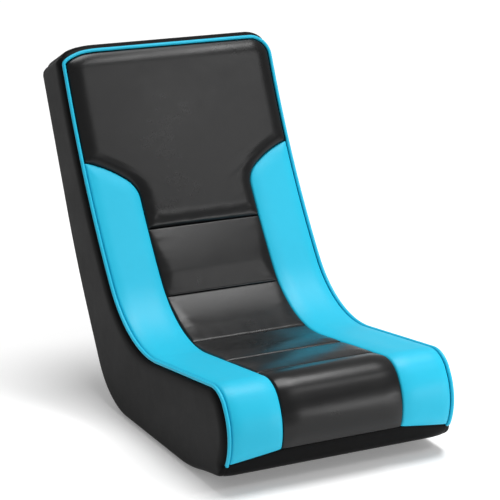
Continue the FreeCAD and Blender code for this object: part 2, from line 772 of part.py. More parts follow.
def side_frames():
    """The two plywood sides, with holes for the rails' screws and the straps' staples."""
    thick = "Sizes.frame_thickness"
    outer = "Sizes.half_width - Sizes.cover_wall - Sizes.wadding"
    for side, start in (("left", "-1 * (" + outer + ")"), ("right", outer + " - " + thick)):
        outline = side_outline(FRAME_FRONT, FRAME_BACK, FRAME_TOP)
        plate = profile_body("side_plate_" + side, outline, thick, start)
        keep(cut_by("side_frame_" + side, plate, [parts["rail_screws"], parts["frame_staples"]]))


def base_board():
    """The plywood floor of the frame."""
    flat = REAR[FLAT][3]
    board = doc.addObject("Part::Box", "base_board_sheet")
    board.setExpression("Length", FRAME_WIDTH)
    board.Width = flat
    board.setExpression("Height", "Sizes.base_thickness")
    board.Placement = FreeCAD.Placement(Vector(-FRAME_OUT, -flat / 2, WALL), Rotation())
    keep(cut_by("base_board", board, [parts["base_screws"], parts["cover_staples"]]))


def screw_pair(pattern, y, z):
    """One screw from each side, their heads flush with the side frames."""
    return [placed(pattern, Vector(sign * FRAME_OUT, y, z), Vector(sign, 0, 0)) for sign in (-1, 1)]


def placed(shape, point, outward):
    """A copy of a fastener with its head at a point, facing outward."""
    copy = shape.copy()
    copy.Placement = FreeCAD.Placement(point, Rotation(Vector(0, 0, 1), outward))
    return copy


def cut_by(name, base, tools):
    """A sub-part that is a base shape less its fasteners."""
    fasteners = tools[0]
    if len(tools) > 1:
        fasteners = doc.addObject("Part::MultiFuse", name + "_fasteners")
        fasteners.Shapes = tools
    cut = doc.addObject("Part::Cut", name)
    cut.Base = base
    cut.Tool = fasteners
    cut.Label = name
    return cut


def base_screws():
    """Screws up through the base board into the base rails."""
    pattern = wood_screw(size("base_screw_length"))
    found = []
    for _, y in base_rail_places():
        for share in (-0.85, -0.3, 0.3, 0.85):
            middle = Vector(share * FRAME_IN, y + size("rail_width") / 2, WALL)
            found.append(placed(pattern, middle, Vector(0, 0, -1)))
    return found


def glue_blocks():
    """Three-cornered blocks between the base rails and the side frames."""
    leg, floor = size("block_leg"), WALL + size("base_thickness")
    solids = []
    front_y = base_rail_places()[0][1] + size("rail_width")
    rear_y = base_rail_places()[1][1]
    for sign in (-1, 1):
        for y, way in ((front_y, 1), (rear_y, -1)):
            x = sign * FRAME_IN
            corners = [Vector(x, y, floor), Vector(x - sign * leg, y, floor), Vector(x, y + way * leg, floor)]
            face = Part.Face(Part.makePolygon(corners + corners[:1]))
            solids.append(face.extrude(Vector(0, 0, size("rail_depth"))))
    keep(feature("glue_blocks", Part.Compound(solids)))


# Webbing


def strap_places():
    """Name and s of the middle of each strap, all above the seat cloth."""
    return [("back_strap_%d" % (k + 1), size("strap_first") + k * size("strap_pitch")) for k in range(4)]


def straps():
    """Webbing across the side frames, behind the foam core."""
    half_strap = size("strap_width") / 2
    for name, s in strap_places():
        piece = path_between(FRONT, s - half_strap, s + half_strap)
        outline = loop_curves(shifted(piece, -CORE_BACK), shifted(piece, -FRAME_FRONT))
        web = profile_body(name + "_web", outline, FRAME_WIDTH, "-0.5 * " + FRAME_WIDTH)
        keep(cut_by(name, web, [parts["frame_staples"]]))


def seat_cloth():
    """Strong cloth over the side frames and the seat block, round to the nose."""
    piece = path_between(FRONT, size("cloth_start"), FRONT_END)
    outline = loop_curves(shifted(piece, -CORE_BACK), shifted(piece, -FRAME_FRONT))
    sheet_body = profile_body("seat_cloth_sheet", outline, FRAME_WIDTH, "-0.5 * " + FRAME_WIDTH)
    keep(cut_by("seat_cloth", sheet_body, [parts["frame_staples"]]))


def seat_block():
    """The foam block that fills the seat between the side frames, cut round the rails."""
    top = shifted(path_between(FRONT, size("cloth_start"), FRONT_END), -FRAME_FRONT)
    bottom = shifted(path_between(REAR, FLAT_START, REAR_END), FRAME_BACK)
    outline = loop_curves(top, bottom)
    block = profile_body("seat_block_blank", outline, BETWEEN_FRAMES, "-0.5 * " + BETWEEN_FRAMES)
    timbers = [doc.getObject(name + "_timber") for name in ("nose_rail", "base_rail_front", "base_rail_rear")]
    keep(cut_by("seat_block_foam", block, timbers + [parts["glue_blocks"]]))


def staple_shape(leg):
    """A staple with its crown's face at the origin, its crown along Y and its legs along -Z."""
    wire, crown = size("staple_wire"), size("staple_crown")
    staple = Part.makeBox(wire, crown, wire)
    staple.translate(Vector(-wire / 2, -crown / 2, -wire))
    for side in (-1, 1):
        prong = Part.makeBox(wire, wire, leg)
        prong.translate(Vector(-wire / 2, side * (crown - wire) / 2 - wire / 2, -leg))
        staple = staple.fuse(prong)
    return staple.removeSplitter()


def frame_staples():
    """Staples that hold the straps and the seat cloth to the side frames, let into their faces."""
    staple = staple_shape(size("staple_leg"))
    across = FRAME_OUT - size("frame_thickness") / 2
    quarter, pitch = size("strap_width") / 4, size("cloth_staple_pitch")
    places = [s + step for _, s in strap_places() for step in (-quarter, quarter)]
    flat_end = FRONT_END - path_length(FRONT[4:])
    first = size("cloth_start") + quarter
    places += [first + k * pitch for k in range(int((flat_end - first) / pitch) + 1)]
    found = []
    for s in places:
        y, z, heading = path_point(FRONT, s)
        ny, nz = normal(heading)
        dy, dz = direction(heading)
        turn = Rotation(Vector(1, 0, 0), Vector(0, dy, dz), Vector(0, ny, nz), "ZXY")
        for sign in (-1, 1):
            middle = Vector(sign * across, y - ny * CORE_BACK, z - nz * CORE_BACK)
            copy = staple.copy()
            copy.Placement = FreeCAD.Placement(middle, turn)
            found.append(copy)
    keep(feature("frame_staples", Part.Compound(found)))


def cover_staples():
    """Staples round the edge of the cloth under the chair, their crowns let into it."""
    staple = staple_shape(size("cover_staple_leg"))
    edge, pitch = size("cover_staple_edge"), size("cover_staple_pitch")
    half_x, half_y = FRAME_OUT - edge, REAR[FLAT][3] / 2 - edge
    found = []
    for half_along, half_across, quarter_turn in ((half_x, half_y, 90), (half_y, half_x, 0)):
        count = int((half_along - pitch / 2) / pitch)
        for k in range(-count, count + 1):
            for side in (-1, 1):
                x, y = (k * pitch, side * half_across) if quarter_turn else (side * half_across, k * pitch)
                turn = Rotation(Vector(0, 0, 1), quarter_turn).multiply(Rotation(Vector(1, 0, 0), 180))
                copy = staple.copy()
                copy.Placement = FreeCAD.Placement(Vector(x, y, 0), turn)
                found.append(copy)
    keep(feature("cover_staples", Part.Compound(found)))


def check_and_write():
    """Stops on a failed object, then writes each sub-part to its own file."""
    os.makedirs("parts", exist_ok=True)
    for made in doc.Objects:
        if "Invalid" in made.State or "Error" in made.State:
            raise RuntimeError(made.Name + " failed")
    for name, made in sorted(parts.items()):
        shape = made.Shape
        if shape.isNull() or not shape.isValid() or not shape.Solids or shape.Volume <= 0:
            raise RuntimeError(name + " has no valid solid")
        shape.exportStep(os.path.join("parts", name + ".step"))
        box = shape.BoundBox
        print(f"{name:22s} {len(shape.Solids):3d} solids {shape.Volume / 1000:10.1f} cm3"
              f"  y {box.YMin:7.1f} {box.YMax:7.1f}  z {box.ZMin:7.1f} {box.ZMax:7.1f}")


def main():
    frame_staples()
    cover_staples()
    rails_and_screws()
    side_frames()
    base_board()
    glue_blocks()
    straps()
    seat_cloth()
    seat_block()
    core()
    rear_layers()
    toe_layers()
    under_cover()
    side_covers()
    top_covers()
    head_pad()
    nose_pad(channel_pads())
    bolster_pad(-1, "bolster_left")
    bolster_pad(1, "bolster_right")
    piping()
    doc.recompute()
    check_and_write()
    print(f"front {FRONT_END:.1f}  flat {REAR[FLAT][3]:.1f}  parts {len(parts)}")


main()
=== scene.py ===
import math

import bpy
import numpy as np
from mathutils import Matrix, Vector


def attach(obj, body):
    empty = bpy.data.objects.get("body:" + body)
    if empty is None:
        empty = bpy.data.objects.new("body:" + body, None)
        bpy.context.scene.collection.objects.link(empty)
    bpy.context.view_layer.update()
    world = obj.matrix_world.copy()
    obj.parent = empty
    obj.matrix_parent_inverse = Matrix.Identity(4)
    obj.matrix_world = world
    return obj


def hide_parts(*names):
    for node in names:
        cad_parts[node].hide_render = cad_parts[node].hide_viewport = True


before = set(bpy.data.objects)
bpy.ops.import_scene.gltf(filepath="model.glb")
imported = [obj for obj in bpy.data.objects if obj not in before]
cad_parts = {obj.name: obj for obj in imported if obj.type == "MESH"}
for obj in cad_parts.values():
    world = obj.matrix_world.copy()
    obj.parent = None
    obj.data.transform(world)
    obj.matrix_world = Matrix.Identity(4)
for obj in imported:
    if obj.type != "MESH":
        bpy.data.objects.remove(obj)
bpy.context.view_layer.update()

# %% [markdown]
# The frame is the chair's construction: timber, webbing, foam and covers at their real
# size, in metres.

# %% Clearing the selection
bpy.ops.object.select_all(action="DESELECT")

# %% [markdown]
# A long lens from about three and a half metres keeps the two sides of the chair nearly
# parallel. The camera stands to the sitter's right and a little above the headrest, and
# its place and angles were fitted to the chair's own corners.

# %% Camera
CAMERA_PLACE = (-1.6149, -3.1401, 1.3407)
CAMERA_AZIMUTH = math.radians(-26.8137)
CAMERA_ELEVATION = math.radians(15.9341)
camera_data = bpy.data.cameras.new("camera")
camera_data.lens = 144.0
camera_data.sensor_width = 36.0
camera = bpy.data.objects.new("camera", camera_data)
camera.location = CAMERA_PLACE
backwards = Vector((
    math.sin(CAMERA_AZIMUTH) * math.cos(CAMERA_ELEVATION),
    -math.cos(CAMERA_AZIMUTH) * math.cos(CAMERA_ELEVATION),
    math.sin(CAMERA_ELEVATION),
))
camera.rotation_euler = (-backwards).to_track_quat("-Z", "Y").to_euler()
bpy.context.scene.collection.objects.link(camera)
bpy.context.scene.camera = camera
print("camera", camera_data.lens, "mm lens")

# %% [markdown]
# The chair is one profile pulled sideways. A path is a list of runs, each a line or an
# arc: place (y, z), heading, length and curvature. A heading of 0 points down and 90 the
# way the sitter faces. A drawn curve could hold the same line, but runs tell the place and
# heading at any distance, as a tape laid down the chair would. Lengths here are
# millimetres, and angles degrees, as in an upholsterer's pattern; they become metres when a
# mesh is made.

# %% Paths of lines and arcs
MM = 0.001


def direction(heading):
    a = np.radians(heading)
    return -np.sin(a), -np.cos(a)


def normal(heading):
    """Unit vector to the left of a path: the sitter's side of the front face."""
    a = np.radians(heading)
    return -np.cos(a), np.sin(a)


def run_point(run, t):
    """Place and heading at a distance t along one run."""
    y, z, heading, _, bend = run
    if bend == 0:
        dy, dz = direction(heading)
        return y + dy * t, z + dz * t, heading + 0 * t
    ny, nz = normal(heading)
    turned = heading + np.degrees(bend * t)
    my, mz = normal(turned)
    return y + (ny - my) / bend, z + (nz - mz) / bend, turned


def walk(y, z, heading, steps):
    """A path from a start and steps of (length, radius, turn)."""
    path = []
    for length, radius, turn in steps:
        bend = math.copysign(1.0 / radius, turn) if radius else 0.0
        if radius:
            length = radius * math.radians(abs(turn))
        path.append((y, z, heading, length, bend))
        y, z, heading = (float(v) for v in run_point(path[-1], length))
    return path


def path_length(path):
    return sum(run[3] for run in path)


def trace(path, s):
    """Arrays of y, z and heading at the distances s; both ends run on."""
    s = np.asarray(s, float)
    y, z, heading = np.empty_like(s), np.empty_like(s), np.empty_like(s)
    done = 0.0
    for place, run in enumerate(path):
        here = s >= done if place else np.full(s.shape, True)
        y[here], z[here], heading[here] = run_point(run, s[here] - done)
        done += run[3]
    return y, z, heading


def crossing(point_a, heading_a, point_b, heading_b):
    """Where two lines in the profile meet."""
    (ay, az), (by, bz) = point_a, point_b
    (uy, uz), (vy, vz) = direction(heading_a), direction(heading_b)
    t = ((by - ay) * vz - (bz - az) * vy) / (uy * vz - uz * vy)
    return ay + uy * t, az + uz * t


def filleted(corners, radii):
    """A path through corners, with each inner corner rounded to its radius."""
    headings = []
    for (ay, az), (by, bz) in zip(corners, corners[1:]):
        headings.append(math.degrees(math.atan2(-(by - ay), -(bz - az))) % 360)
    y, z = corners[0]
    path, spent = [], 0.0
    for k, (a, b) in enumerate(zip(corners, corners[1:])):
        turn = headings[k + 1] - headings[k] if k < len(radii) else 0.0
        radius = radii[k] if k < len(radii) else 0.0
        ahead = radius * math.tan(math.radians(abs(turn)) / 2)
        steps = [(math.dist(a, b) - spent - ahead, 0, 0)]
        if radius:
            steps.append((0, radius, turn))
        path += walk(y, z, headings[k], steps)
        y, z, _ = run_point(path[-1], path[-1][3])
        spent = ahead
    return path


# %% [markdown]
# The front face leans back at the head, curves into the seat, rolls over the knee edge
# and turns under at the nose. The rear outline runs down behind, round the heel to the
# flat that the chair stands on, and up under the toe to the same seam.

# %% Front and rear profile
HALF_WIDTH = 225.0
HEAD_RECLINE = 23.5
LUMBAR_RECLINE = 36.3
SEAT_SLOPE = 7.2
NOSE_FACE = 31.5
NOSE_TUCK = 28.5
NOSE_HEIGHT = 52.9
NOSE_RADIUS = 100.0
HEAD_DEPTH = 108.0
BACK_TURN = LUMBAR_RECLINE - HEAD_RECLINE
HEAD_RUN = 68.5
BACK_RUN = 398.0
LAP_RADIUS = 221.0
SEAT_RUN = 230.0
KNEE_RADIUS = 51.0
KNEE_RUN = 6.0
FRONT_STEPS = [
    (HEAD_RUN, 0, 0),
    (0, BACK_RUN / math.radians(BACK_TURN), BACK_TURN),
    (0, LAP_RADIUS, 90 + SEAT_SLOPE - LUMBAR_RECLINE),
    (SEAT_RUN, 0, 0),
    (0, KNEE_RADIUS, NOSE_FACE - 90 - SEAT_SLOPE),
    (KNEE_RUN, 0, 0),
    (0, NOSE_RADIUS, -NOSE_FACE - NOSE_TUCK),
]
REAR_UPPER, REAR_LOWER = 24.3, 31.2
HEEL_BEHIND = 89.0
TOE_BEHIND = 141.4
TOE_HEADING = 103.0
REAR_RADII = [1500.0, 155.0, 300.0, 25.0]


def front_profile(y, z):
    return walk(y, z, HEAD_RECLINE, FRONT_STEPS)


def rear_profile(front):
    """From the head's rear edge down, under and up to the seam below the nose."""
    y, z, heading = front[0][:3]
    ny, nz = normal(heading)
    top = (y - ny * HEAD_DEPTH, z - nz * HEAD_DEPTH)
    inner = crossing(front[2][:2], LUMBAR_RECLINE, front[3][:2], front[3][2])
    heel = (inner[0] + HEEL_BEHIND, 0.0)
    nose = tuple(float(v) for v in run_point(front[-1], front[-1][3])[:2])
    toe = (nose[0] + TOE_BEHIND, 0.0)
    bend = crossing(top, REAR_UPPER, heel, REAR_LOWER)
    tuck = crossing(toe, TOE_HEADING, nose, 180 - NOSE_TUCK)
    return filleted([top, bend, heel, toe, tuck, nose], REAR_RADII)


trial = front_profile(0.0, 0.0)
trial_end = run_point(trial[-1], trial[-1][3])
FLAT = 4
shift_z = NOSE_HEIGHT - float(trial_end[1])
trial_rear = rear_profile(front_profile(0.0, shift_z))
flat_middle = trial_rear[FLAT][0] - trial_rear[FLAT][3] / 2
FRONT = front_profile(-flat_middle, shift_z)
REAR = rear_profile(FRONT)
FRONT_END = path_length(FRONT)
REAR_END = path_length(REAR)
FLAT_START = path_length(REAR[:FLAT])
FLAT_END = FLAT_START + REAR[FLAT][3]
print("front face", round(FRONT_END, 1), "mm, rear", round(REAR_END, 1), "mm")
print("flat on the floor from y", round(REAR[FLAT][0], 1), "mm, length", round(REAR[FLAT][3], 1))

# %% [markdown]
# Two ways to place a point: off the front face by its distance across, down the face and
# out of it, and off the rear face in the same way. The left top corner is pulled wider
# and lower than the right one, so both ways move the points near it along the face.


# %% Laying points on the profile
def laid(path, side, x, s, out):
    """Points off a path, in metres: side is 1 for the left of the path and -1 for its right."""
    x, s, out = np.broadcast_arrays(x, s, out)
    y, z, heading = trace(path, s)
    ny, nz = normal(heading)
    return np.stack([x, y + side * ny * out, z + side * nz * out], axis=-1) * MM


CORNER_RADIUS = 40.0
CORNER_ACROSS = 78.0
CORNER_DOWN = 24.0
LIFT_START, LIFT_END = 40.0, 200.0


def eased(share):
    """A share from 0 to 1 that leaves and arrives slowly."""
    share = np.clip(share, 0, 1)
    return 3 * share ** 2 - 2 * share ** 3


def corner_lift(x, s):
    """How much higher than its even round a point of the left top corner sits."""
    across = (-x - HALF_WIDTH + CORNER_RADIUS) / CORNER_RADIUS
    up = (CORNER_RADIUS - s) / CORNER_RADIUS
    turn = np.arctan2(np.clip(across, 0, None), np.clip(up, 0, None))
    place = np.where(across > 0, HALF_WIDTH + CORNER_RADIUS * (np.sin(turn) - 1), -x)
    reach = np.clip((place - HALF_WIDTH + CORNER_ACROSS) / CORNER_ACROSS, 0, 1)
    wide = CORNER_DOWN * (np.sqrt(1 - reach ** 2) - 1)
    even = np.where(across > 0, CORNER_RADIUS * (np.cos(turn) - 1), 0.0)
    near = eased(np.hypot(np.clip(across, 0, None), np.clip(up, 0, None)))
    return (wide - even) * near * eased((LIFT_END - s) / (LIFT_END - LIFT_START))


def on_front(x, s, out):
    return laid(FRONT, 1, x, s - corner_lift(x, s), out)


def on_rear(x, s, out):
    return laid(REAR, -1, x, s - corner_lift(x, s), out)


# %% [markdown]
# Every pad starts as a grid of points. The rows and columns crowd together beside the
# seams, where leather turns down sharply, and open out in the middle, where it is calm. An
# even grid would need many more points for the same sharp seams.


# %% Crowded spacing
FIRST_CELL = 0.35
CELL_GROWTH = 1.28


def spacing(length, cell):
    """Distances from 0 to length, close at both ends and up to a cell apart between."""
    steps, step, total = [], FIRST_CELL, 0.0
    while total + step < length / 2:
        steps.append(step)
        total += step
        step = min(step * CELL_GROWTH, cell)
    stretch = (length / 2) / sum(steps)
    half = np.concatenate([[0.0], np.cumsum(steps)]) * stretch
    return np.concatenate([half, length - half[-2::-1]])


def distance(x, s, line):
    """Least distance from each point (x, s) to a line of points."""
    line = np.asarray(line, float)
    best = np.full(x.shape, np.inf)
    for (ax, ay), (bx, by) in zip(line, line[1:]):
        ux, uy = bx - ax, by - ay
        along = ((x - ax) * ux + (s - ay) * uy) / max(ux * ux + uy * uy, 1e-12)
        along = np.clip(along, 0.0, 1.0)
        best = np.minimum(best, np.hypot(x - ax - along * ux, s - ay - along * uy))
    return best


# %% [markdown]
# A sewn seam pulls the leather down twice: sharply, within a few millimetres, where the
# two covers turn in to be stitched, and gently over a wider band, where the foam is
# squeezed. A corner takes the stronger of its two pulls, blended. A simulated cushion
# would find such a form by itself, but its seams wander; a formula keeps each one in place.


# %% How a seam pulls a pad down
BLEND_POWER = 3.0


def seam_fall(d, tuck, tuck_width, squeeze, squeeze_width, ease=2.4):
    """Depth of a pad below its full height at a distance d from one seam."""
    near = np.clip(d / tuck_width, 0.0, 1.0)
    wide = np.clip(d / squeeze_width, 0.0, 1.0)
    return tuck * (1 - np.sqrt(1 - (1 - near) ** 2)) + squeeze * (1 - wide) ** ease


def together(*falls):
    """Several falls at once, without adding up in the corners."""
    total = sum(fall ** BLEND_POWER for fall in falls)
    return total ** (1 / BLEND_POWER)


def pucker(along, d, reach, height, pitch):
    """Small folds that run out from a seam and fade away from it."""
    a = 2 * np.pi * along / pitch
    wave = np.sin(a) + 0.7 * np.sin(1.71 * a + 1.3) + 0.5 * np.sin(2.93 * a + 4.1)
    return height * wave * (d / reach) * np.exp(1 - 2.2 * d / reach)


# %% [markdown]
# A pad is a closed body. Its face is the shaped grid, its back lies on the foam slab, and
# straight walls down the seams join the two. Building it from two matching grids keeps
# every face a quad, so it subdivides and shades cleanly.


# %% A closed pad from two grids
SMOOTH_ANGLE = math.radians(55)


def cells(index):
    corners = [index[:-1, :-1], index[:-1, 1:], index[1:, 1:], index[1:, :-1]]
    return np.stack(corners, -1).reshape(-1, 4)


def closed_pad(name, face, back):
    """A closed mesh between a face and a back, with its faces pointing outwards."""
    rows, columns = face.shape[:2]
    count = rows * columns
    index = np.arange(count).reshape(rows, columns)
    rim = np.concatenate([index[0, :-1], index[:-1, -1], index[-1, :0:-1], index[:0:-1, 0]])
    after = np.roll(rim, -1)
    walls = np.stack([rim, rim + count, after + count, after], -1)
    quads = np.concatenate([cells(index), cells(index + count)[:, ::-1], walls])
    points = np.concatenate([face.reshape(-1, 3), back.reshape(-1, 3)])
    corners = points[quads] - points.mean(axis=0)
    volume = np.einsum("ij,ij->i", corners[:, 0], np.cross(corners[:, 1], corners[:, 2])).sum()
    volume += np.einsum("ij,ij->i", corners[:, 0], np.cross(corners[:, 2], corners[:, 3])).sum()
    if volume < 0:
        quads = quads[:, ::-1]
    mesh = bpy.data.meshes.new(name)
    mesh.from_pydata(points.tolist(), [], quads.tolist())
    piece = bpy.data.objects.new(name, mesh)
    bpy.context.scene.collection.objects.link(piece)
    bpy.ops.object.select_all(action="DESELECT")
    piece.select_set(True)
    bpy.context.view_layer.objects.active = piece
    bpy.ops.object.shade_smooth_by_angle(angle=SMOOTH_ANGLE)
    return piece


def settle(piece, fill, *nodes):
    """A finished pad: it rides with the chair and stands in for its nodes, which are hidden."""
    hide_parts(*nodes)
    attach(piece, "root")
    low, high = np.array(piece.bound_box).min(axis=0), np.array(piece.bound_box).max(axis=0)
    print(f"{piece.name:16s} {len(piece.data.vertices):6d} points  size {np.round(high - low, 3)}")
    return piece


# %% [markdown]
# The seams between the pads lie on the front face. The shoulder seam leaves the side
# nearly level, turns over in an easy arc and drops in a tighter one to run down beside
# the channels. The pads on both sides of a seam are cut to the same line, so the gap
# between them stays even.

# %% The seam lines
PIPING_RADIUS = 3.4
GAP = 0.3
INSERT_HALF = 119.0
PAD_EDGE = 217.6
SEAMS = [365.5, 505.5, 635.5, 775.5, 898.5]
NOSE_ARCH = 17.0
PAD_DEPTH = 13.7
WING_START = 216.5
WING_RADIUS = 225.0
WING_SLOPE, WING_TURN = 15.0, 40.0


def wing_seam():
    """The shoulder seam: an easy arc, then a tighter one that ends straight down."""
    first, turn = math.radians(WING_SLOPE), math.radians(WING_TURN)
    angles = np.linspace(first, turn, 14)
    s = WING_START + WING_RADIUS * (math.cos(first) - np.cos(angles))
    x = HALF_WIDTH - WING_RADIUS * (np.sin(angles) - math.sin(first))
    tight = (x[-1] - INSERT_HALF) / (1 - math.sin(turn))
    angles = np.linspace(turn, math.pi / 2, 26)[1:]
    s2 = s[-1] + tight * (math.cos(turn) - np.cos(angles))
    x2 = x[-1] - tight * (np.sin(angles) - math.sin(turn))
    return np.concatenate([x, x2]), np.concatenate([s, s2])


WING_X, WING_S = wing_seam()
print("shoulder seam from s", round(WING_S[0], 1), "to", round(WING_S[-1], 1))

# %% [markdown]
# The head panel is the widest and softest pad. It rises beside the piping in a broad
# roll, narrows along the shoulder seams and bulges over the first channel. A plane could be
# cut to this outline, but rows that narrow with it keep their columns along the seams.


# %% Head panel
HEAD_SWELL = 10.5


def head_outline():
    """Rows of (s, half width), and the panel's edges as lines of points."""
    top = PIPING_RADIUS + GAP
    radius = CORNER_RADIUS - top
    angles = np.linspace(0, math.pi / 2, 22)
    corner_s = top + radius * (1 - np.cos(angles))
    corner_w = PAD_EDGE - radius + radius * np.sin(angles)
    inside = WING_X < PAD_EDGE - 0.5
    wing_w, wing_s = WING_X[inside] - GAP, WING_S[inside]
    fine = np.interp(np.linspace(0, 1, 90), np.linspace(0, 1, len(wing_s)), wing_s)
    wing_w = np.interp(fine, wing_s, wing_w)
    upper = corner_s[-1] + spacing(fine[0] - corner_s[-1], 5.0)[1:-1]
    lower = fine[-1] + (SEAMS[0] - GAP - fine[-1]) * np.linspace(0, 1, 18)[1:] ** 0.7
    s = np.concatenate([corner_s, upper, fine, lower])
    narrow = INSERT_HALF - GAP
    straight = np.full(upper.shape, PAD_EDGE)
    w = np.concatenate([corner_w, straight, wing_w, np.full(lower.shape, narrow)])
    return s, w


def head_panel():
    s_rows, half = head_outline()
    share = spacing(2 * PAD_EDGE, 5.0) / PAD_EDGE - 1.0
    x = half[:, None] * share[None, :]
    s = np.broadcast_to(s_rows[:, None], x.shape)
    wing_top = np.argmax(WING_X < PAD_EDGE)
    arch = [(-w, v) for v, w in zip(s_rows, half) if v < WING_S[wing_top]][::-1]
    arch += [(-a, v) for a, v in arch[::-1]]
    d_arch = distance(x, s, arch)
    wing = list(zip(WING_X, WING_S)) + [(INSERT_HALF, SEAMS[0] + 30)]
    d_wing = distance(np.abs(x), s, wing)
    d_foot = np.abs(SEAMS[0] - s)
    fall = together(
        seam_fall(d_arch, 5.0, 4.5, 9.5, 34.0),
        seam_fall(d_wing, 5.0, 4.5, 8.0, 30.0),
        seam_fall(d_foot, 6.0, 7.0, 8.0, 34.0, 2.0),
    )
    out = HEAD_SWELL - fall
    out += pucker(x + 13, d_foot, 26, 0.35, 61)
    out += pucker(s + 0.6 * np.abs(x), d_wing, 24, 0.4, 47)
    face = on_front(x, s, out)
    back = on_front(x, s, -PAD_DEPTH)
    return settle(closed_pad("head_panel", face, back), 0.7, "head_cover", "head_foam")


head = head_panel()


# %% [markdown]
# Each channel between the bolsters is a shallow pillow that leans on the one below: it
# leaves its upper seam slowly, is fullest in its lower half and rolls steeply into the
# next seam. One function makes all four, and only their length and height differ.


# %% Channels and nose
def channel(name, start, end, height, nodes):
    length = end - start
    x = spacing(2 * (INSERT_HALF - GAP), 4.5) - (INSERT_HALF - GAP)
    s = start + GAP + spacing(length - 2 * GAP, 4.0)
    x, s = np.meshgrid(x, s)
    d_side = INSERT_HALF - np.abs(x)
    d_up, d_down = s - start, end - s
    fall = together(
        seam_fall(d_side, 3.5, 4.0, 0.8 * height, 34.0),
        seam_fall(d_up, 2.0, 3.0, height, 0.70 * length, 1.7),
        seam_fall(d_down, 4.0, 5.0, 0.8 * height, 0.42 * length, 2.2),
    )
    out = height + 0.5 - fall
    out += pucker(x + start, d_down, 22, 0.25, 53)
    out += pucker(s, d_side, 20, 0.3, 41)
    face = on_front(x, s, out)
    back = on_front(x, s, -PAD_DEPTH)
    return settle(closed_pad(name, face, back), 0.6, *nodes)


CHANNELS = [("back_upper", 7.0), ("back_lower", 5.5), ("seat_rear", 5.0), ("seat_front", 4.5)]
NOSE_SWELL = 6.0
channels = []
for (stem, height), start, end in zip(CHANNELS, SEAMS, SEAMS[1:]):
    channels.append(channel(stem + "_pad", start, end, height, (stem + "_cover", stem + "_foam")))


def nose_panel():
    start, end = SEAMS[-1], FRONT_END - NOSE_ARCH
    x = spacing(2 * (INSERT_HALF - GAP), 4.5) - (INSERT_HALF - GAP)
    s = start + GAP + spacing(end - start - 2 * GAP, 4.0)
    x, s = np.meshgrid(x, s)
    fall = together(
        seam_fall(INSERT_HALF - np.abs(x), 3.5, 4.0, 5.0, 40.0),
        seam_fall(s - start, 3.0, 4.0, 4.0, 40.0, 2.0),
        seam_fall(end - s, 4.0, 5.0, 5.0, 42.0, 2.0),
    )
    out = NOSE_SWELL - fall
    out += pucker(s, INSERT_HALF - np.abs(x), 24, 0.3, 37)
    face = on_front(x, s, out)
    back = on_front(x, s, -PAD_DEPTH)
    return settle(closed_pad("nose_pad", face, back), 0.7, "nose_cover", "nose_foam")


nose = nose_panel()


# %% [markdown]
# The bolsters are nearly flat with a slight crown. Their tips start where the shoulder
# seam meets the piping, and their feet slant up towards the nose panel. One function lays
# out both, each on its own side, and closed_pad points its faces outwards.


# %% Bolsters
BOLSTER_SWELL = 5.5
SLANT_START = 900.0


def bolster(sign, name):
    inside = WING_X < PAD_EDGE - 0.8
    wing_s, wing_x = WING_S[inside], WING_X[inside] + GAP
    fine = np.interp(np.linspace(0, 1, 80), np.linspace(0, 1, len(wing_s)), wing_s)
    straight = fine[-1] + spacing(2 * (FRONT_END - fine[-1]), 5.0)
    straight = straight[straight > FRONT_END - 1e-6] - (FRONT_END - fine[-1])
    rows = np.concatenate([fine, straight[1:]])
    below = np.full(len(straight) - 1, INSERT_HALF + GAP)
    inner = np.concatenate([np.interp(fine, wing_s, wing_x), below])
    share = spacing(PAD_EDGE - INSERT_HALF, 4.5) / (PAD_EDGE - INSERT_HALF)
    x = inner[:, None] + (PAD_EDGE - inner)[:, None] * share[None, :]
    s = np.broadcast_to(rows[:, None], x.shape)
    slant = NOSE_ARCH * (HALF_WIDTH - x) / (HALF_WIDTH - INSERT_HALF)
    s = s - slant * np.clip((s - SLANT_START) / (FRONT_END - SLANT_START), 0.0, 1.0)
    wing = list(zip(WING_X, WING_S)) + [(INSERT_HALF, FRONT_END + 30)]
    d_in = distance(x, s, wing)
    d_out = PAD_EDGE - x
    d_foot = FRONT_END - slant - s
    fall = together(
        seam_fall(d_in, 4.0, 4.0, 5.0, 34.0),
        seam_fall(d_out, 5.0, 4.5, 4.0, 26.0),
        seam_fall(d_foot, 4.0, 5.0, 5.0, 30.0, 2.0),
    )
    out = BOLSTER_SWELL - fall
    out += pucker(s, d_in, 24, 0.2, 67)
    face = on_front(sign * x, s, out)
    back = on_front(sign * x, s, -PAD_DEPTH)
    return settle(closed_pad(name + "_pad", face, back), 0.7, name + "_cover", name + "_foam")


bolsters = [bolster(-1, "bolster_left"), bolster(1, "bolster_right")]


# %% [markdown]
# The side band wraps the edge of the chair from the piping to the back. It is laid out on
# rungs between the front and rear outlines. It starts tucked under the piping, swells
# past the frame and rounds over the rear edge, where it is sewn to the rear panel. A flat
# plate with a bevel would be simpler, but leather over foam has no flat part.

# %% Shape of the bands
BAND_START = 3.7
BAND_TUCK = 6.0
BAND_CROWN = 5.5
TOP_CROWN = 12.5
EDGE_ROUND = 12.0
TIP_ROUND = 3.0
TIP_LENGTH = 110.0
CREASE = 1.5
CREASE_SQUEEZE = 3.0
BAND_SKIN = 1.5
BAND_INSIDE = -8.7
RUNGS = [(40.0, 40.0), (466.5, 492.0), (583.0, 698.0), (701.0, 858.0),
         (931.0, 1060.0), (989.0, 1108.0), (FRONT_END, REAR_END)]
ARCH_OUT = CORNER_RADIUS + PIPING_RADIUS
FLAT_HALF = HALF_WIDTH - ARCH_OUT
QUARTER = ARCH_OUT * math.pi / 2
CREASE_W = FLAT_HALF + QUARTER / 2


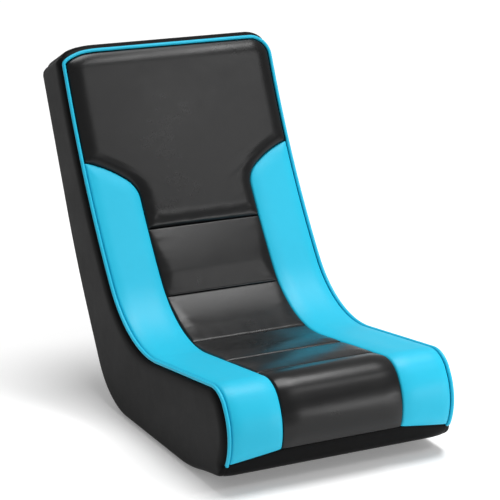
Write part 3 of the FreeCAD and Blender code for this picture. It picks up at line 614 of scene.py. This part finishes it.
def edge_round(s_rear):
    """Radius of the rounded rear edge: even behind and below, and least at the nose."""
    return TIP_ROUND + (EDGE_ROUND - TIP_ROUND) * eased((REAR_END - s_rear) / TIP_LENGTH)


def band_swell(d_front, d_rear, radius, d_end, crown=BAND_CROWN):
    """How far a band stands outside the frame line."""
    rounded = np.clip(1 - d_rear / radius, 0, 1)
    out = -(radius + crown) * (1 - np.sqrt(1 - rounded ** 2))
    fall = together(
        seam_fall(d_front, BAND_TUCK, 6.0, crown, 20.0, 2.0),
        seam_fall(d_end, CREASE, 6.0, CREASE_SQUEEZE, 24.0, 2.0),
    )
    return out + crown - fall


def band_columns(length):
    """Shares across a band, close at the piping and round the rear edge."""
    front = spacing(length, 5.0)
    front = front[front <= length - EDGE_ROUND - 4]
    angles = np.linspace(0, math.pi / 2, 12)
    rear = length - EDGE_ROUND * (1 - np.sin(angles))
    return np.concatenate([front, rear]) / length


def head_place(x, u, depth):
    """A point across, up from the top seam and in from the front face, in metres."""
    y, z, heading = FRONT[0][:3]
    uy, uz = direction(heading)
    ny, nz = normal(heading)
    x, u, depth = np.broadcast_arrays(x, u, depth)
    u = u + corner_lift(x, -u)
    return np.stack([x, y - uy * u - ny * depth, z - uz * u - nz * depth], axis=-1) * MM


def rear_depth(u):
    """Depth of the rear face behind a point u above the top seam."""
    lean = math.tan(math.radians(REAR_UPPER - HEAD_RECLINE))
    return HEAD_DEPTH + u * lean


COLUMNS = band_columns(HEAD_DEPTH - BAND_START)


def arch_place(w, out):
    """A point of the head's outline: w from the middle of the top, out from the outline."""
    size, sign = np.abs(w), np.where(w < 0, -1.0, 1.0)
    angle = np.clip((size - FLAT_HALF) / ARCH_OUT, 0, math.pi / 2)
    beyond = np.clip(size - FLAT_HALF - QUARTER, 0, None)
    x = np.minimum(size, FLAT_HALF) + (ARCH_OUT + out) * np.sin(angle)
    u = PIPING_RADIUS - ARCH_OUT + (ARCH_OUT + out) * np.cos(angle) - beyond
    return sign * x, u


def arch_grid(w, crease, inner):
    """A band's points over the head, with a crease at the given w."""
    w = w[:, None]
    _, u_line = arch_place(w, 0.0)
    reach = rear_depth(u_line) - BAND_START
    a = COLUMNS[None, :] * reach
    turned = eased(((np.abs(w) - FLAT_HALF) / QUARTER - 0.3) / 0.7)
    crown = TOP_CROWN + (BAND_CROWN - TOP_CROWN) * turned
    swell = band_swell(a, reach - a, EDGE_ROUND, np.abs(np.abs(w) - crease), crown)
    if inner:
        swell = np.minimum(swell - BAND_SKIN, BAND_INSIDE)
    x, u = arch_place(w, swell)
    return head_place(x, u, BAND_START + a), swell


def top_band():
    w = spacing(2 * CREASE_W - 0.6, 5.0) - CREASE_W + 0.3
    face, _ = arch_grid(w, CREASE_W, False)
    back, _ = arch_grid(w, CREASE_W, True)
    return settle(closed_pad("top_band", face, back), 0.6, "top_cover", "top_wadding")


def side_band(sign, name):
    lower = spacing(2 * (QUARTER / 2 - 0.3), 4.0)
    lower = CREASE_W + 0.3 + lower[lower <= QUARTER / 2 - 0.3 + 1e-6]
    fronts = np.array([r[0] for r in RUNGS])
    rears = np.array([r[1] for r in RUNGS])
    along = spacing(FRONT_END - fronts[0], 6.0)[1:] + fronts[0]
    y_f, z_f, h_f = trace(FRONT, along)
    ny, nz = normal(h_f)
    y_f, z_f = y_f - ny * BAND_START, z_f - nz * BAND_START
    s_rear = np.interp(along, fronts, rears)
    y_r, z_r, _ = trace(REAR, s_rear)
    y = y_f[:, None] + (y_r - y_f)[:, None] * COLUMNS[None, :]
    z = z_f[:, None] + (z_r - z_f)[:, None] * COLUMNS[None, :]
    line = np.linspace(-30, FRONT_END, 260)
    ly, lz, lh = trace(FRONT, line)
    my, mz = normal(lh)
    d_front = distance(y, z, list(zip(ly - my * BAND_START, lz - mz * BAND_START)))
    line = np.linspace(-30, REAR_END, 260)
    ry, rz, _ = trace(REAR, line)
    d_rear = distance(y, z, list(zip(ry, rz)))
    radius = np.broadcast_to(edge_round(s_rear)[:, None], y.shape)
    d_end = np.broadcast_to((QUARTER / 2 + along - fronts[0])[:, None], y.shape)
    swell = band_swell(d_front, d_rear, radius, d_end)
    sheets = []
    for inner in (False, True):
        upper, _ = arch_grid(sign * lower, CREASE_W, inner)
        level = np.minimum(swell - BAND_SKIN, BAND_INSIDE) if inner else swell
        body = np.stack([sign * (HALF_WIDTH + level), y, z], axis=-1) * MM
        sheets.append(np.concatenate([upper, body]))
    made = closed_pad("side_band_" + name, *sheets)
    return settle(made, 0.6, "side_cover_" + name, "side_wadding_" + name)


bands = [top_band(), side_band(-1, "left"), side_band(1, "right")]


# %% [markdown]
# Behind, one plain panel runs from the head to the floor between the rounded edges of the
# bands. Under the toe another comes forward from the flat and up to the seam below the
# nose, which arches over its middle. They are pads too, only thinner and with less swell.


# %% Rear and toe panels
PANEL_SWELL = 2.5
PANEL_DEPTH = 7.2


def rear_panel():
    top = EDGE_ROUND - PIPING_RADIUS
    radius = ARCH_OUT - EDGE_ROUND
    angles = np.linspace(0, math.pi / 2, 14)
    corner = top + radius * (1 - np.cos(angles))
    rows = np.concatenate([corner, corner[-1] + spacing(FLAT_START - corner[-1], 7.0)[1:]])
    half = HALF_WIDTH - edge_round(rows) - GAP
    half[:len(angles)] -= radius * (1 - np.sin(angles))
    share = spacing(2 * half.max(), 6.0) / half.max() - 1.0
    x = half[:, None] * share[None, :]
    s = np.broadcast_to(rows[:, None], x.shape)
    line = list(zip(half, rows))
    d_side = distance(np.abs(x), s, [(0, rows[0])] + line)
    fall = together(
        seam_fall(d_side, 3.0, 4.0, 4.5, 60.0),
        seam_fall(FLAT_START - s, 0.0, 4.0, 2.0, 60.0),
    )
    out = PANEL_SWELL - fall
    out += pucker(s, d_side, 30, 0.35, 71)
    pad = closed_pad("rear_panel", on_rear(x, s, out), on_rear(x, s, -PANEL_DEPTH))
    return settle(pad, 0.5, "rear_cover", "rear_wadding")


def toe_panel():
    last = REAR[-1]
    y, z, heading = (float(v) for v in run_point(last, last[3]))
    path = REAR + [(y, z, heading, 60.0, 1.0 / NOSE_RADIUS)]
    share_v = spacing(REAR_END - FLAT_END, 4.0) / (REAR_END - FLAT_END)
    rows = FLAT_END + share_v * (REAR_END - FLAT_END)
    half = HALF_WIDTH - edge_round(rows) - GAP
    share = spacing(2 * half.max(), 5.0) / half.max() - 1.0
    x = half[:, None] * share[None, :]
    rise = NOSE_ARCH * np.clip((HALF_WIDTH - np.abs(x)) / (HALF_WIDTH - INSERT_HALF), 0, 1)
    top = REAR_END + rise - GAP
    s = FLAT_END + share_v[:, None] * (top - FLAT_END)
    d_top = top - s
    d_side = half[:, None] - np.abs(x)
    fall = together(
        seam_fall(d_side, 2.0, 4.0, 2.0, 30.0),
        seam_fall(d_top, 4.0, 5.0, 4.0, 28.0),
        seam_fall(s - FLAT_END, 0.0, 4.0, 2.5, 40.0),
    )
    out = PANEL_SWELL - fall
    out += pucker(x, d_top, 20, 0.3, 57)
    face, back = laid(path, -1, x, s, out), laid(path, -1, x, s, -PANEL_DEPTH)
    pad = closed_pad("toe_panel", face, back)
    return settle(pad, 0.5, "toe_cover", "toe_wadding")


rear = rear_panel()
toe = toe_panel()


# %% [markdown]
# Under the chair a plain cloth closes the frame. It is pulled flat between its staples,
# so it is a thin sheet laid between the rounded edges of the bands. A simulated cloth
# would only come back to the same plane.


# %% Cloth under the chair
CLOTH_THICKNESS = 1.2


def strip(name, half, rows, lift, thickness, place):
    """A thin closed sheet of a given half width along the rows of a profile."""
    x = spacing(2 * half, 8.0) - half
    x, s = np.meshgrid(x, rows)
    return closed_pad(name, place(x, s, lift), place(x, s, lift - thickness))


def length_at(rows, lift):
    """The length of a strip that follows the front profile at a given lift."""
    steps = np.diff(on_front(0.0, rows, lift), axis=0)
    return float(np.linalg.norm(steps, axis=1).sum()) / MM


def declare_sheet(piece, width, length, rests_on, *nodes):
    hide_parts(*nodes)
    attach(piece, "root")
    return piece


floor_half = HALF_WIDTH - EDGE_ROUND
flat_length = FLAT_END - FLAT_START
under_rows = FLAT_START + spacing(flat_length, 8.0)
under_cloth = strip("under_cloth", floor_half, under_rows, 0.0, CLOTH_THICKNESS, on_rear)
declare_sheet(under_cloth, 2 * floor_half, flat_length, ["base_board"], "under_cover")

# %% [markdown]
# Inside, what the sitter feels is soft too: a foam slab behind the pads, webbing across
# the frame behind the back, and a cloth over a foam block below the seat. None of it
# shows, but each is a piece of its own at its real size. The slab and the webbing follow
# the front face, and the block is the construction's own, with its cut edges softened.

# %% Foam, webbing and cloth inside
CORE_FRONT = 14.2
CORE_BACK = 43.8
CORE_INSET = 6.0
STRAP_WIDTH = 50.0
STRAP_THICKNESS = 1.6
STRAP_FACE = -CORE_BACK - 0.4
STRAP_MIDDLE = -CORE_BACK - 1.2
FRAME_HALF = 216.3
STRAP_FIRST = 120.5
STRAP_PITCH = 156.0
CLOTH_START = 633.5
SIDE_FRAMES = ["side_frame_left", "side_frame_right"]


def core_slab():
    """The slab behind all the pads, its top corners rounded with the head's."""
    top, radius = PIPING_RADIUS + CORE_INSET, CORNER_RADIUS - CORE_INSET
    angles = np.linspace(0, math.pi / 2, 10)
    corner = top + radius * (1 - np.cos(angles))
    straight = np.arange(corner[-1] + 8, FRONT_END - 2, 8.0)
    rows = np.concatenate([corner, straight, [FRONT_END - 1.0]])
    half = np.full(rows.shape, FRAME_HALF)
    half[:len(angles)] -= radius * (1 - np.sin(angles))
    x = half[:, None] * (spacing(2.0, 0.05) - 1.0)[None, :]
    s = np.broadcast_to(rows[:, None], x.shape)
    return closed_pad("foam_slab", on_front(x, s, -CORE_FRONT), on_front(x, s, -CORE_BACK))


def cut_foam(name, node, voxel):
    """Foam cut to a node's shape, its edges softened by a remesh."""
    mesh = bpy.data.objects[node].data.copy()
    piece = bpy.data.objects.new(name, mesh)
    bpy.context.scene.collection.objects.link(piece)
    bpy.ops.object.select_all(action="DESELECT")
    piece.select_set(True)
    bpy.context.view_layer.objects.active = piece
    remesh = piece.modifiers.new("cells", "REMESH")
    remesh.mode = "VOXEL"
    remesh.voxel_size = voxel
    bpy.ops.object.modifier_apply(modifier="cells")
    bpy.ops.object.shade_smooth_by_angle(angle=SMOOTH_ANGLE)
    return piece


foam_slab = settle(core_slab(), 1.0, "core_foam")
seat_block = settle(cut_foam("seat_block", "seat_block_foam", 0.005), 1.0, "seat_block_foam")
webbing = []
for k in range(4):
    middle = STRAP_FIRST + k * STRAP_PITCH
    rows = middle - STRAP_WIDTH / 2 + spacing(STRAP_WIDTH, 6.0)
    name = "webbing_%d" % (k + 1)
    strap = strip(name, FRAME_HALF, rows, STRAP_FACE, STRAP_THICKNESS, on_front)
    length = length_at(rows, STRAP_MIDDLE)
    declare_sheet(strap, 2 * FRAME_HALF, length, SIDE_FRAMES, "back_strap_%d" % (k + 1))
    webbing.append(strap)
rows = CLOTH_START + spacing(FRONT_END - CLOTH_START, 8.0)
seat_cloth = strip("seat_cloth_sheet", FRAME_HALF, rows, STRAP_FACE, STRAP_THICKNESS, on_front)
cloth_length = length_at(rows, STRAP_MIDDLE)
declare_sheet(seat_cloth, 2 * FRAME_HALF, cloth_length, SIDE_FRAMES, "seat_cloth")
print("inside:", len(webbing), "straps, a slab, a block and a cloth")

# %% [markdown]
# The piping is a cord in a strip of leather, sewn between the front pads and the bands.
# It is drawn as a curve round the front face and bevelled to its real thickness, which
# keeps it round through every bend, and its two ends dive into the seam under the nose.


# %% Piping
def piping_half(sign):
    """Points of one side from the nose up, round the corner and to the middle, in metres."""
    last = FRONT_END - 4.0
    side_s = np.concatenate([np.arange(CORNER_RADIUS, last, 5.0), [last]])
    x = HALF_WIDTH - PIPING_RADIUS
    down = on_front(sign * x, side_s, 0.0)
    dive_s, dive_out = FRONT_END + np.array([-0.5, 2.0]), np.array([-1.0, -7.0])
    dive = on_front(sign * (x - 1.5), dive_s, dive_out)
    angles = np.linspace(0, math.pi / 2, 14)[1:]
    corner = head_place(
        sign * (x - CORNER_RADIUS + CORNER_RADIUS * np.cos(angles)),
        CORNER_RADIUS * np.sin(angles) - CORNER_RADIUS,
        0.0,
    )
    top = head_place(sign * np.linspace(x - CORNER_RADIUS, 0, 40)[1:], 0.0, 0.0)
    return np.concatenate([dive[::-1], down[::-1], corner, top])


def piping_line():
    """Points up the right side, round both corners and down the left side, in metres."""
    return np.concatenate([piping_half(1), piping_half(-1)[-2::-1]])


def swept(name, points, radius, sides):
    """A round cord along a line of points, as a closed mesh."""
    curve = bpy.data.curves.new(name, "CURVE")
    curve.dimensions = "3D"
    spline = curve.splines.new("POLY")
    spline.points.add(len(points) - 1)
    spline.points.foreach_set("co", np.column_stack([points, np.ones(len(points))]).ravel())
    curve.bevel_depth = radius
    curve.bevel_resolution = sides
    curve.use_fill_caps = True
    piece = bpy.data.objects.new(name, curve)
    bpy.context.scene.collection.objects.link(piece)
    bpy.ops.object.select_all(action="DESELECT")
    piece.select_set(True)
    bpy.context.view_layer.objects.active = piece
    bpy.ops.object.convert(target="MESH")
    bpy.ops.object.mode_set(mode="EDIT")
    bpy.ops.mesh.select_all(action="SELECT")
    bpy.ops.mesh.remove_doubles(threshold=1e-6)
    bpy.ops.mesh.normals_make_consistent(inside=False)
    bpy.ops.object.mode_set(mode="OBJECT")
    bpy.ops.object.shade_smooth_by_angle(angle=SMOOTH_ANGLE)
    return bpy.context.view_layer.objects.active


piping = swept("piping_bead", piping_line(), PIPING_RADIUS * MM, 5)
settle(piping, 1.0, "piping", "piping_cord")


# %% [markdown]
# Leather is one effect at two scales: fine cells of grain, and a slow unevenness in the
# sheen. A picture of leather would need unwrapping. A node group makes both from Object
# coordinates instead, so the pattern runs on from one panel to the next without stretching.

# %% Grain group
def new_group(name, inputs, outputs):
    group = bpy.data.node_groups.new(name, "ShaderNodeTree")
    for label, value in inputs:
        socket = group.interface.new_socket(label, in_out="INPUT", socket_type="NodeSocketFloat")
        socket.default_value = value
    for label in outputs:
        group.interface.new_socket(label, in_out="OUTPUT", socket_type="NodeSocketFloat")
    return group, group.nodes.new("NodeGroupInput"), group.nodes.new("NodeGroupOutput")


def maths(tree, operation, a, b):
    """A math node; a and b are sockets or numbers."""
    node = tree.nodes.new("ShaderNodeMath")
    node.operation = operation
    for place, value in enumerate((a, b)):
        if isinstance(value, (int, float)):
            node.inputs[place].default_value = value
        else:
            tree.links.new(value, node.inputs[place])
    return node.outputs[0]


def noise(tree, vector, scale, detail):
    node = tree.nodes.new("ShaderNodeTexNoise")
    node.inputs["Detail"].default_value = detail
    tree.links.new(vector, node.inputs["Vector"])
    if isinstance(scale, (int, float)):
        node.inputs["Scale"].default_value = scale
    else:
        tree.links.new(scale, node.inputs["Scale"])
    return node.outputs["Fac"]


def leather_group():
    group, given, put = new_group("leather_grain", [("Cells", 800.0)], ["Height", "Tone"])
    place = group.nodes.new("ShaderNodeTexCoord").outputs["Object"]
    cell = group.nodes.new("ShaderNodeTexVoronoi")
    cell.feature = "SMOOTH_F1"
    cell.inputs["Smoothness"].default_value = 0.4
    group.links.new(place, cell.inputs["Vector"])
    group.links.new(given.outputs["Cells"], cell.inputs["Scale"])
    fine = noise(group, place, 2600.0, 2.0)
    slow = noise(group, place, 55.0, 3.0)
    broad = noise(group, place, 9.0, 2.0)
    grain = maths(group, "MULTIPLY", cell.outputs["Distance"], 0.6)
    grain = maths(group, "ADD", grain, maths(group, "MULTIPLY", fine, 0.3))
    height = maths(group, "ADD", grain, maths(group, "MULTIPLY", slow, 2.2))
    slow_tone = maths(group, "MULTIPLY", slow, 0.4)
    broad_tone = maths(group, "MULTIPLY", broad, 0.6)
    tone = maths(group, "ADD", slow_tone, broad_tone)
    group.links.new(height, put.inputs["Height"])
    group.links.new(tone, put.inputs["Tone"])
    return group


LEATHER_GRAIN = leather_group()


def mixed(tree, factor, a, b):
    """Two colours blended by a mask."""
    node = tree.nodes.new("ShaderNodeMix")
    node.data_type = "RGBA"
    tree.links.new(factor, node.inputs["Factor"])
    node.inputs["A"].default_value = (*a, 1.0)
    node.inputs["B"].default_value = (*b, 1.0)
    return node.outputs["Result"]


def spread(tree, value, low, high, start=0.3, end=0.7):
    """A value stretched from start..end to low..high."""
    node = tree.nodes.new("ShaderNodeMapRange")
    tree.links.new(value, node.inputs["Value"])
    node.inputs["From Min"].default_value = start
    node.inputs["From Max"].default_value = end
    node.inputs["To Min"].default_value = low
    node.inputs["To Max"].default_value = high
    return node.outputs["Result"]


def new_material(name):
    material = bpy.data.materials.new(name)
    material.use_nodes = True
    tree = material.node_tree
    return material, tree, tree.nodes["Principled BSDF"]


def bump(tree, shader, height, depth):
    node = tree.nodes.new("ShaderNodeBump")
    node.inputs["Distance"].default_value = depth
    node.inputs["Strength"].default_value = 1.0
    tree.links.new(height, node.inputs["Height"])
    tree.links.new(node.outputs["Normal"], shader.inputs["Normal"])


def leather(name, dark, light, rough, depth, shine):
    """A leather from its two tones, range of roughness, depth of grain and gloss."""
    material, tree, shader = new_material(name)
    grain = tree.nodes.new("ShaderNodeGroup")
    grain.node_tree = LEATHER_GRAIN
    grain.inputs["Cells"].default_value = 850.0
    tree.links.new(mixed(tree, grain.outputs["Tone"], dark, light), shader.inputs["Base Color"])
    tree.links.new(spread(tree, grain.outputs["Tone"], *rough), shader.inputs["Roughness"])
    bump(tree, shader, grain.outputs["Height"], depth)
    shader.inputs["Specular IOR Level"].default_value = shine
    return material


# %% [markdown]
# Two colours of the same soft leather: a black that lives by its highlights, and a clear
# light blue. The edges, back and toe are in a duller grade of the black. They share one
# function, so they differ only in tone, roughness, depth of grain and gloss.

# %% Leather
BLACK = (0.0035, 0.0035, 0.0037), (0.0060, 0.0060, 0.0062)
BLUE = (0.012, 0.465, 0.675), (0.018, 0.510, 0.735)
SATIN, DULL = (0.26, 0.34), (0.40, 0.48)
black_leather = leather("black_leather", *BLACK, SATIN, 0.00004, 0.30)
dull_leather = leather("dull_black_leather", *BLACK, DULL, 0.00005, 0.05)
blue_leather = leather("blue_leather", *BLUE, DULL, 0.00005, 0.27)


def dress(piece, material):
    piece.data.materials.clear()
    piece.data.materials.append(material)


for piece in [head, nose, *channels]:
    dress(piece, black_leather)
for piece in [rear, toe, *bands]:
    dress(piece, dull_leather)
for piece in [*bolsters, piping]:
    dress(piece, blue_leather)

# %% [markdown]
# The inside has plainer finishes, still each with its own structure: the grain of
# plywood, the felted face of hardboard, open foam, woven webbing and drawn steel. Noise
# drawn out along one axis makes the wood, and cells make what is open or woven.


# %% Finishes inside
def wood(name, dark, light, stretch, rough):
    """Grain along one axis of the object: a low scale there draws the noise out."""
    material, tree, shader = new_material(name)
    place = tree.nodes.new("ShaderNodeTexCoord").outputs["Object"]
    mapping = tree.nodes.new("ShaderNodeMapping")
    mapping.inputs["Scale"].default_value = stretch
    tree.links.new(place, mapping.inputs["Vector"])
    rings = noise(tree, mapping.outputs["Vector"], 60.0, 6.0)
    tree.links.new(mixed(tree, rings, dark, light), shader.inputs["Base Color"])
    shader.inputs["Roughness"].default_value = rough
    bump(tree, shader, rings, 0.0002)
    return material


def cellular(name, dark, light, cells, depth, rough):
    """An open or woven surface: a cell pattern that shades and dents the surface."""
    material, tree, shader = new_material(name)
    place = tree.nodes.new("ShaderNodeTexCoord").outputs["Object"]
    cell = tree.nodes.new("ShaderNodeTexVoronoi")
    cell.inputs["Scale"].default_value = cells
    tree.links.new(place, cell.inputs["Vector"])
    shade = spread(tree, cell.outputs["Distance"], 0.0, 1.0, 0.0, 0.8)
    tree.links.new(mixed(tree, shade, dark, light), shader.inputs["Base Color"])
    shader.inputs["Roughness"].default_value = rough
    bump(tree, shader, shade, depth)
    return material


def drawn_steel():
    material, tree, shader = new_material("drawn_steel")
    place = tree.nodes.new("ShaderNodeTexCoord").outputs["Object"]
    streak = noise(tree, place, 900.0, 3.0)
    colour = mixed(tree, streak, (0.42, 0.42, 0.43), (0.60, 0.60, 0.61))
    tree.links.new(colour, shader.inputs["Base Color"])
    tree.links.new(spread(tree, streak, 0.28, 0.42), shader.inputs["Roughness"])
    shader.inputs["Metallic"].default_value = 1.0
    return material


ALONG_X, ALONG_Z = (0.15, 1.0, 1.0), (1.0, 1.0, 0.2)
plywood = wood("plywood", (0.42, 0.27, 0.14), (0.66, 0.49, 0.30), ALONG_Z, 0.6)
rail_ply = wood("plywood_rails", (0.40, 0.26, 0.13), (0.64, 0.47, 0.28), ALONG_X, 0.6)
hardboard = cellular("hardboard", (0.16, 0.09, 0.045), (0.24, 0.14, 0.075), 420.0, 0.0001, 0.7)
foam = cellular("open_foam", (0.60, 0.55, 0.36), (0.82, 0.78, 0.58), 520.0, 0.0006, 0.95)
woven = cellular("woven_webbing", (0.010, 0.010, 0.011), (0.035, 0.035, 0.037), 640.0, 0.0004, 0.8)
dust_cloth = cellular("dust_cloth", (0.008, 0.008, 0.009), (0.022, 0.022, 0.023),
                      480.0, 0.0003, 0.85)
steel = drawn_steel()
CARRIED = [
    (plywood, ["side_frame_left", "side_frame_right", "base_board"]),
    (rail_ply, ["head_rail", "shoulder_rail", "lumbar_rail", "nose_rail",
                "base_rail_front", "base_rail_rear", "glue_blocks"]),
    (hardboard, ["rear_board", "toe_board"]),
    (steel, ["rail_screws", "base_screws", "frame_staples", "cover_staples"]),
]
for material, nodes in CARRIED:
    for node in nodes:
        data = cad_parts[node].data
        data.materials.clear()
        data.materials.append(material)
dress(foam_slab, foam)
dress(seat_block, foam)
for strap in webbing:
    dress(strap, woven)
dress(seat_cloth, dust_cloth)
dress(under_cloth, dust_cloth)

# %% [markdown]
# The studio is a very large pale floor under a dim world, a broad soft sun and three
# softboxes. Rays from the camera, and those that glance off the leather, see the floor a
# little brighter than it is lit, so that it runs out to plain white but for the soft
# shadow round the chair.

# %% Floor and lamps
FLOOR_SIZE = 200.0
FLOOR_GAP = 0.0005
FLOOR_COLOUR = (0.90, 0.90, 0.90, 1.0)
FLOOR_LIFT = 0.18
WORLD_LEVEL = 0.38


def seen_directly(tree):
    """1 for a ray of the camera, a reflection or a transmission, and 0 for others."""
    path = tree.nodes.new("ShaderNodeLightPath")
    seen = maths(tree, "MAXIMUM", path.outputs["Is Camera Ray"], path.outputs["Is Glossy Ray"])
    return maths(tree, "MAXIMUM", seen, path.outputs["Is Transmission Ray"])


def studio_floor():
    bpy.ops.object.select_all(action="DESELECT")
    bpy.ops.mesh.primitive_plane_add(size=FLOOR_SIZE, location=(0, 0, -FLOOR_GAP))
    floor = bpy.context.object
    floor.name = "floor"
    material, tree, shader = new_material("floor_white")
    shader.inputs["Base Color"].default_value = FLOOR_COLOUR
    shader.inputs["Roughness"].default_value = 1.0
    shader.inputs["Specular IOR Level"].default_value = 0.0
    shader.inputs["Emission Color"].default_value = (1, 1, 1, 1)
    lift = maths(tree, "MULTIPLY", seen_directly(tree), FLOOR_LIFT)
    tree.links.new(lift, shader.inputs["Emission Strength"])
    floor.data.materials.append(material)


def studio_world():
    world = bpy.data.worlds.new("studio")
    bpy.context.scene.world = world
    world.use_nodes = True
    background = world.node_tree.nodes["Background"]
    background.inputs["Color"].default_value = (1, 1, 1, 1)
    background.inputs["Strength"].default_value = WORLD_LEVEL


def aim(made, place, target):
    made.location = place
    made.rotation_euler = (Vector(target) - Vector(place)).to_track_quat("-Z", "Y").to_euler()
    bpy.context.scene.collection.objects.link(made)


def softbox(name, place, target, size, power):
    data = bpy.data.lights.new(name, "AREA")
    data.shape = "RECTANGLE"
    data.size, data.size_y = size
    data.energy = power
    aim(bpy.data.objects.new(name, data), place, target)


def sun(name, place, target, strength, spread_degrees):
    data = bpy.data.lights.new(name, "SUN")
    data.energy = strength
    data.angle = math.radians(spread_degrees)
    aim(bpy.data.objects.new(name, data), place, target)


studio_floor()
studio_world()
sun("sun", (0.6, 0.4, 4.0), (0.0, 0.1, 0.3), 1.9, 30.0)
softbox("front", (0.93, -1.33, 1.68), (0.0, 0.3, 0.42), (1.0, 0.45), 5.5)
softbox("overhead", (0.75, -0.3, 2.1), (0.0, -0.1, 0.2), (0.9, 0.25), 11)
softbox("low", (0.8, -1.25, 0.3), (0.0, 0.25, 0.35), (0.8, 0.2), 4)
bpy.context.scene.view_settings.view_transform = "Standard"
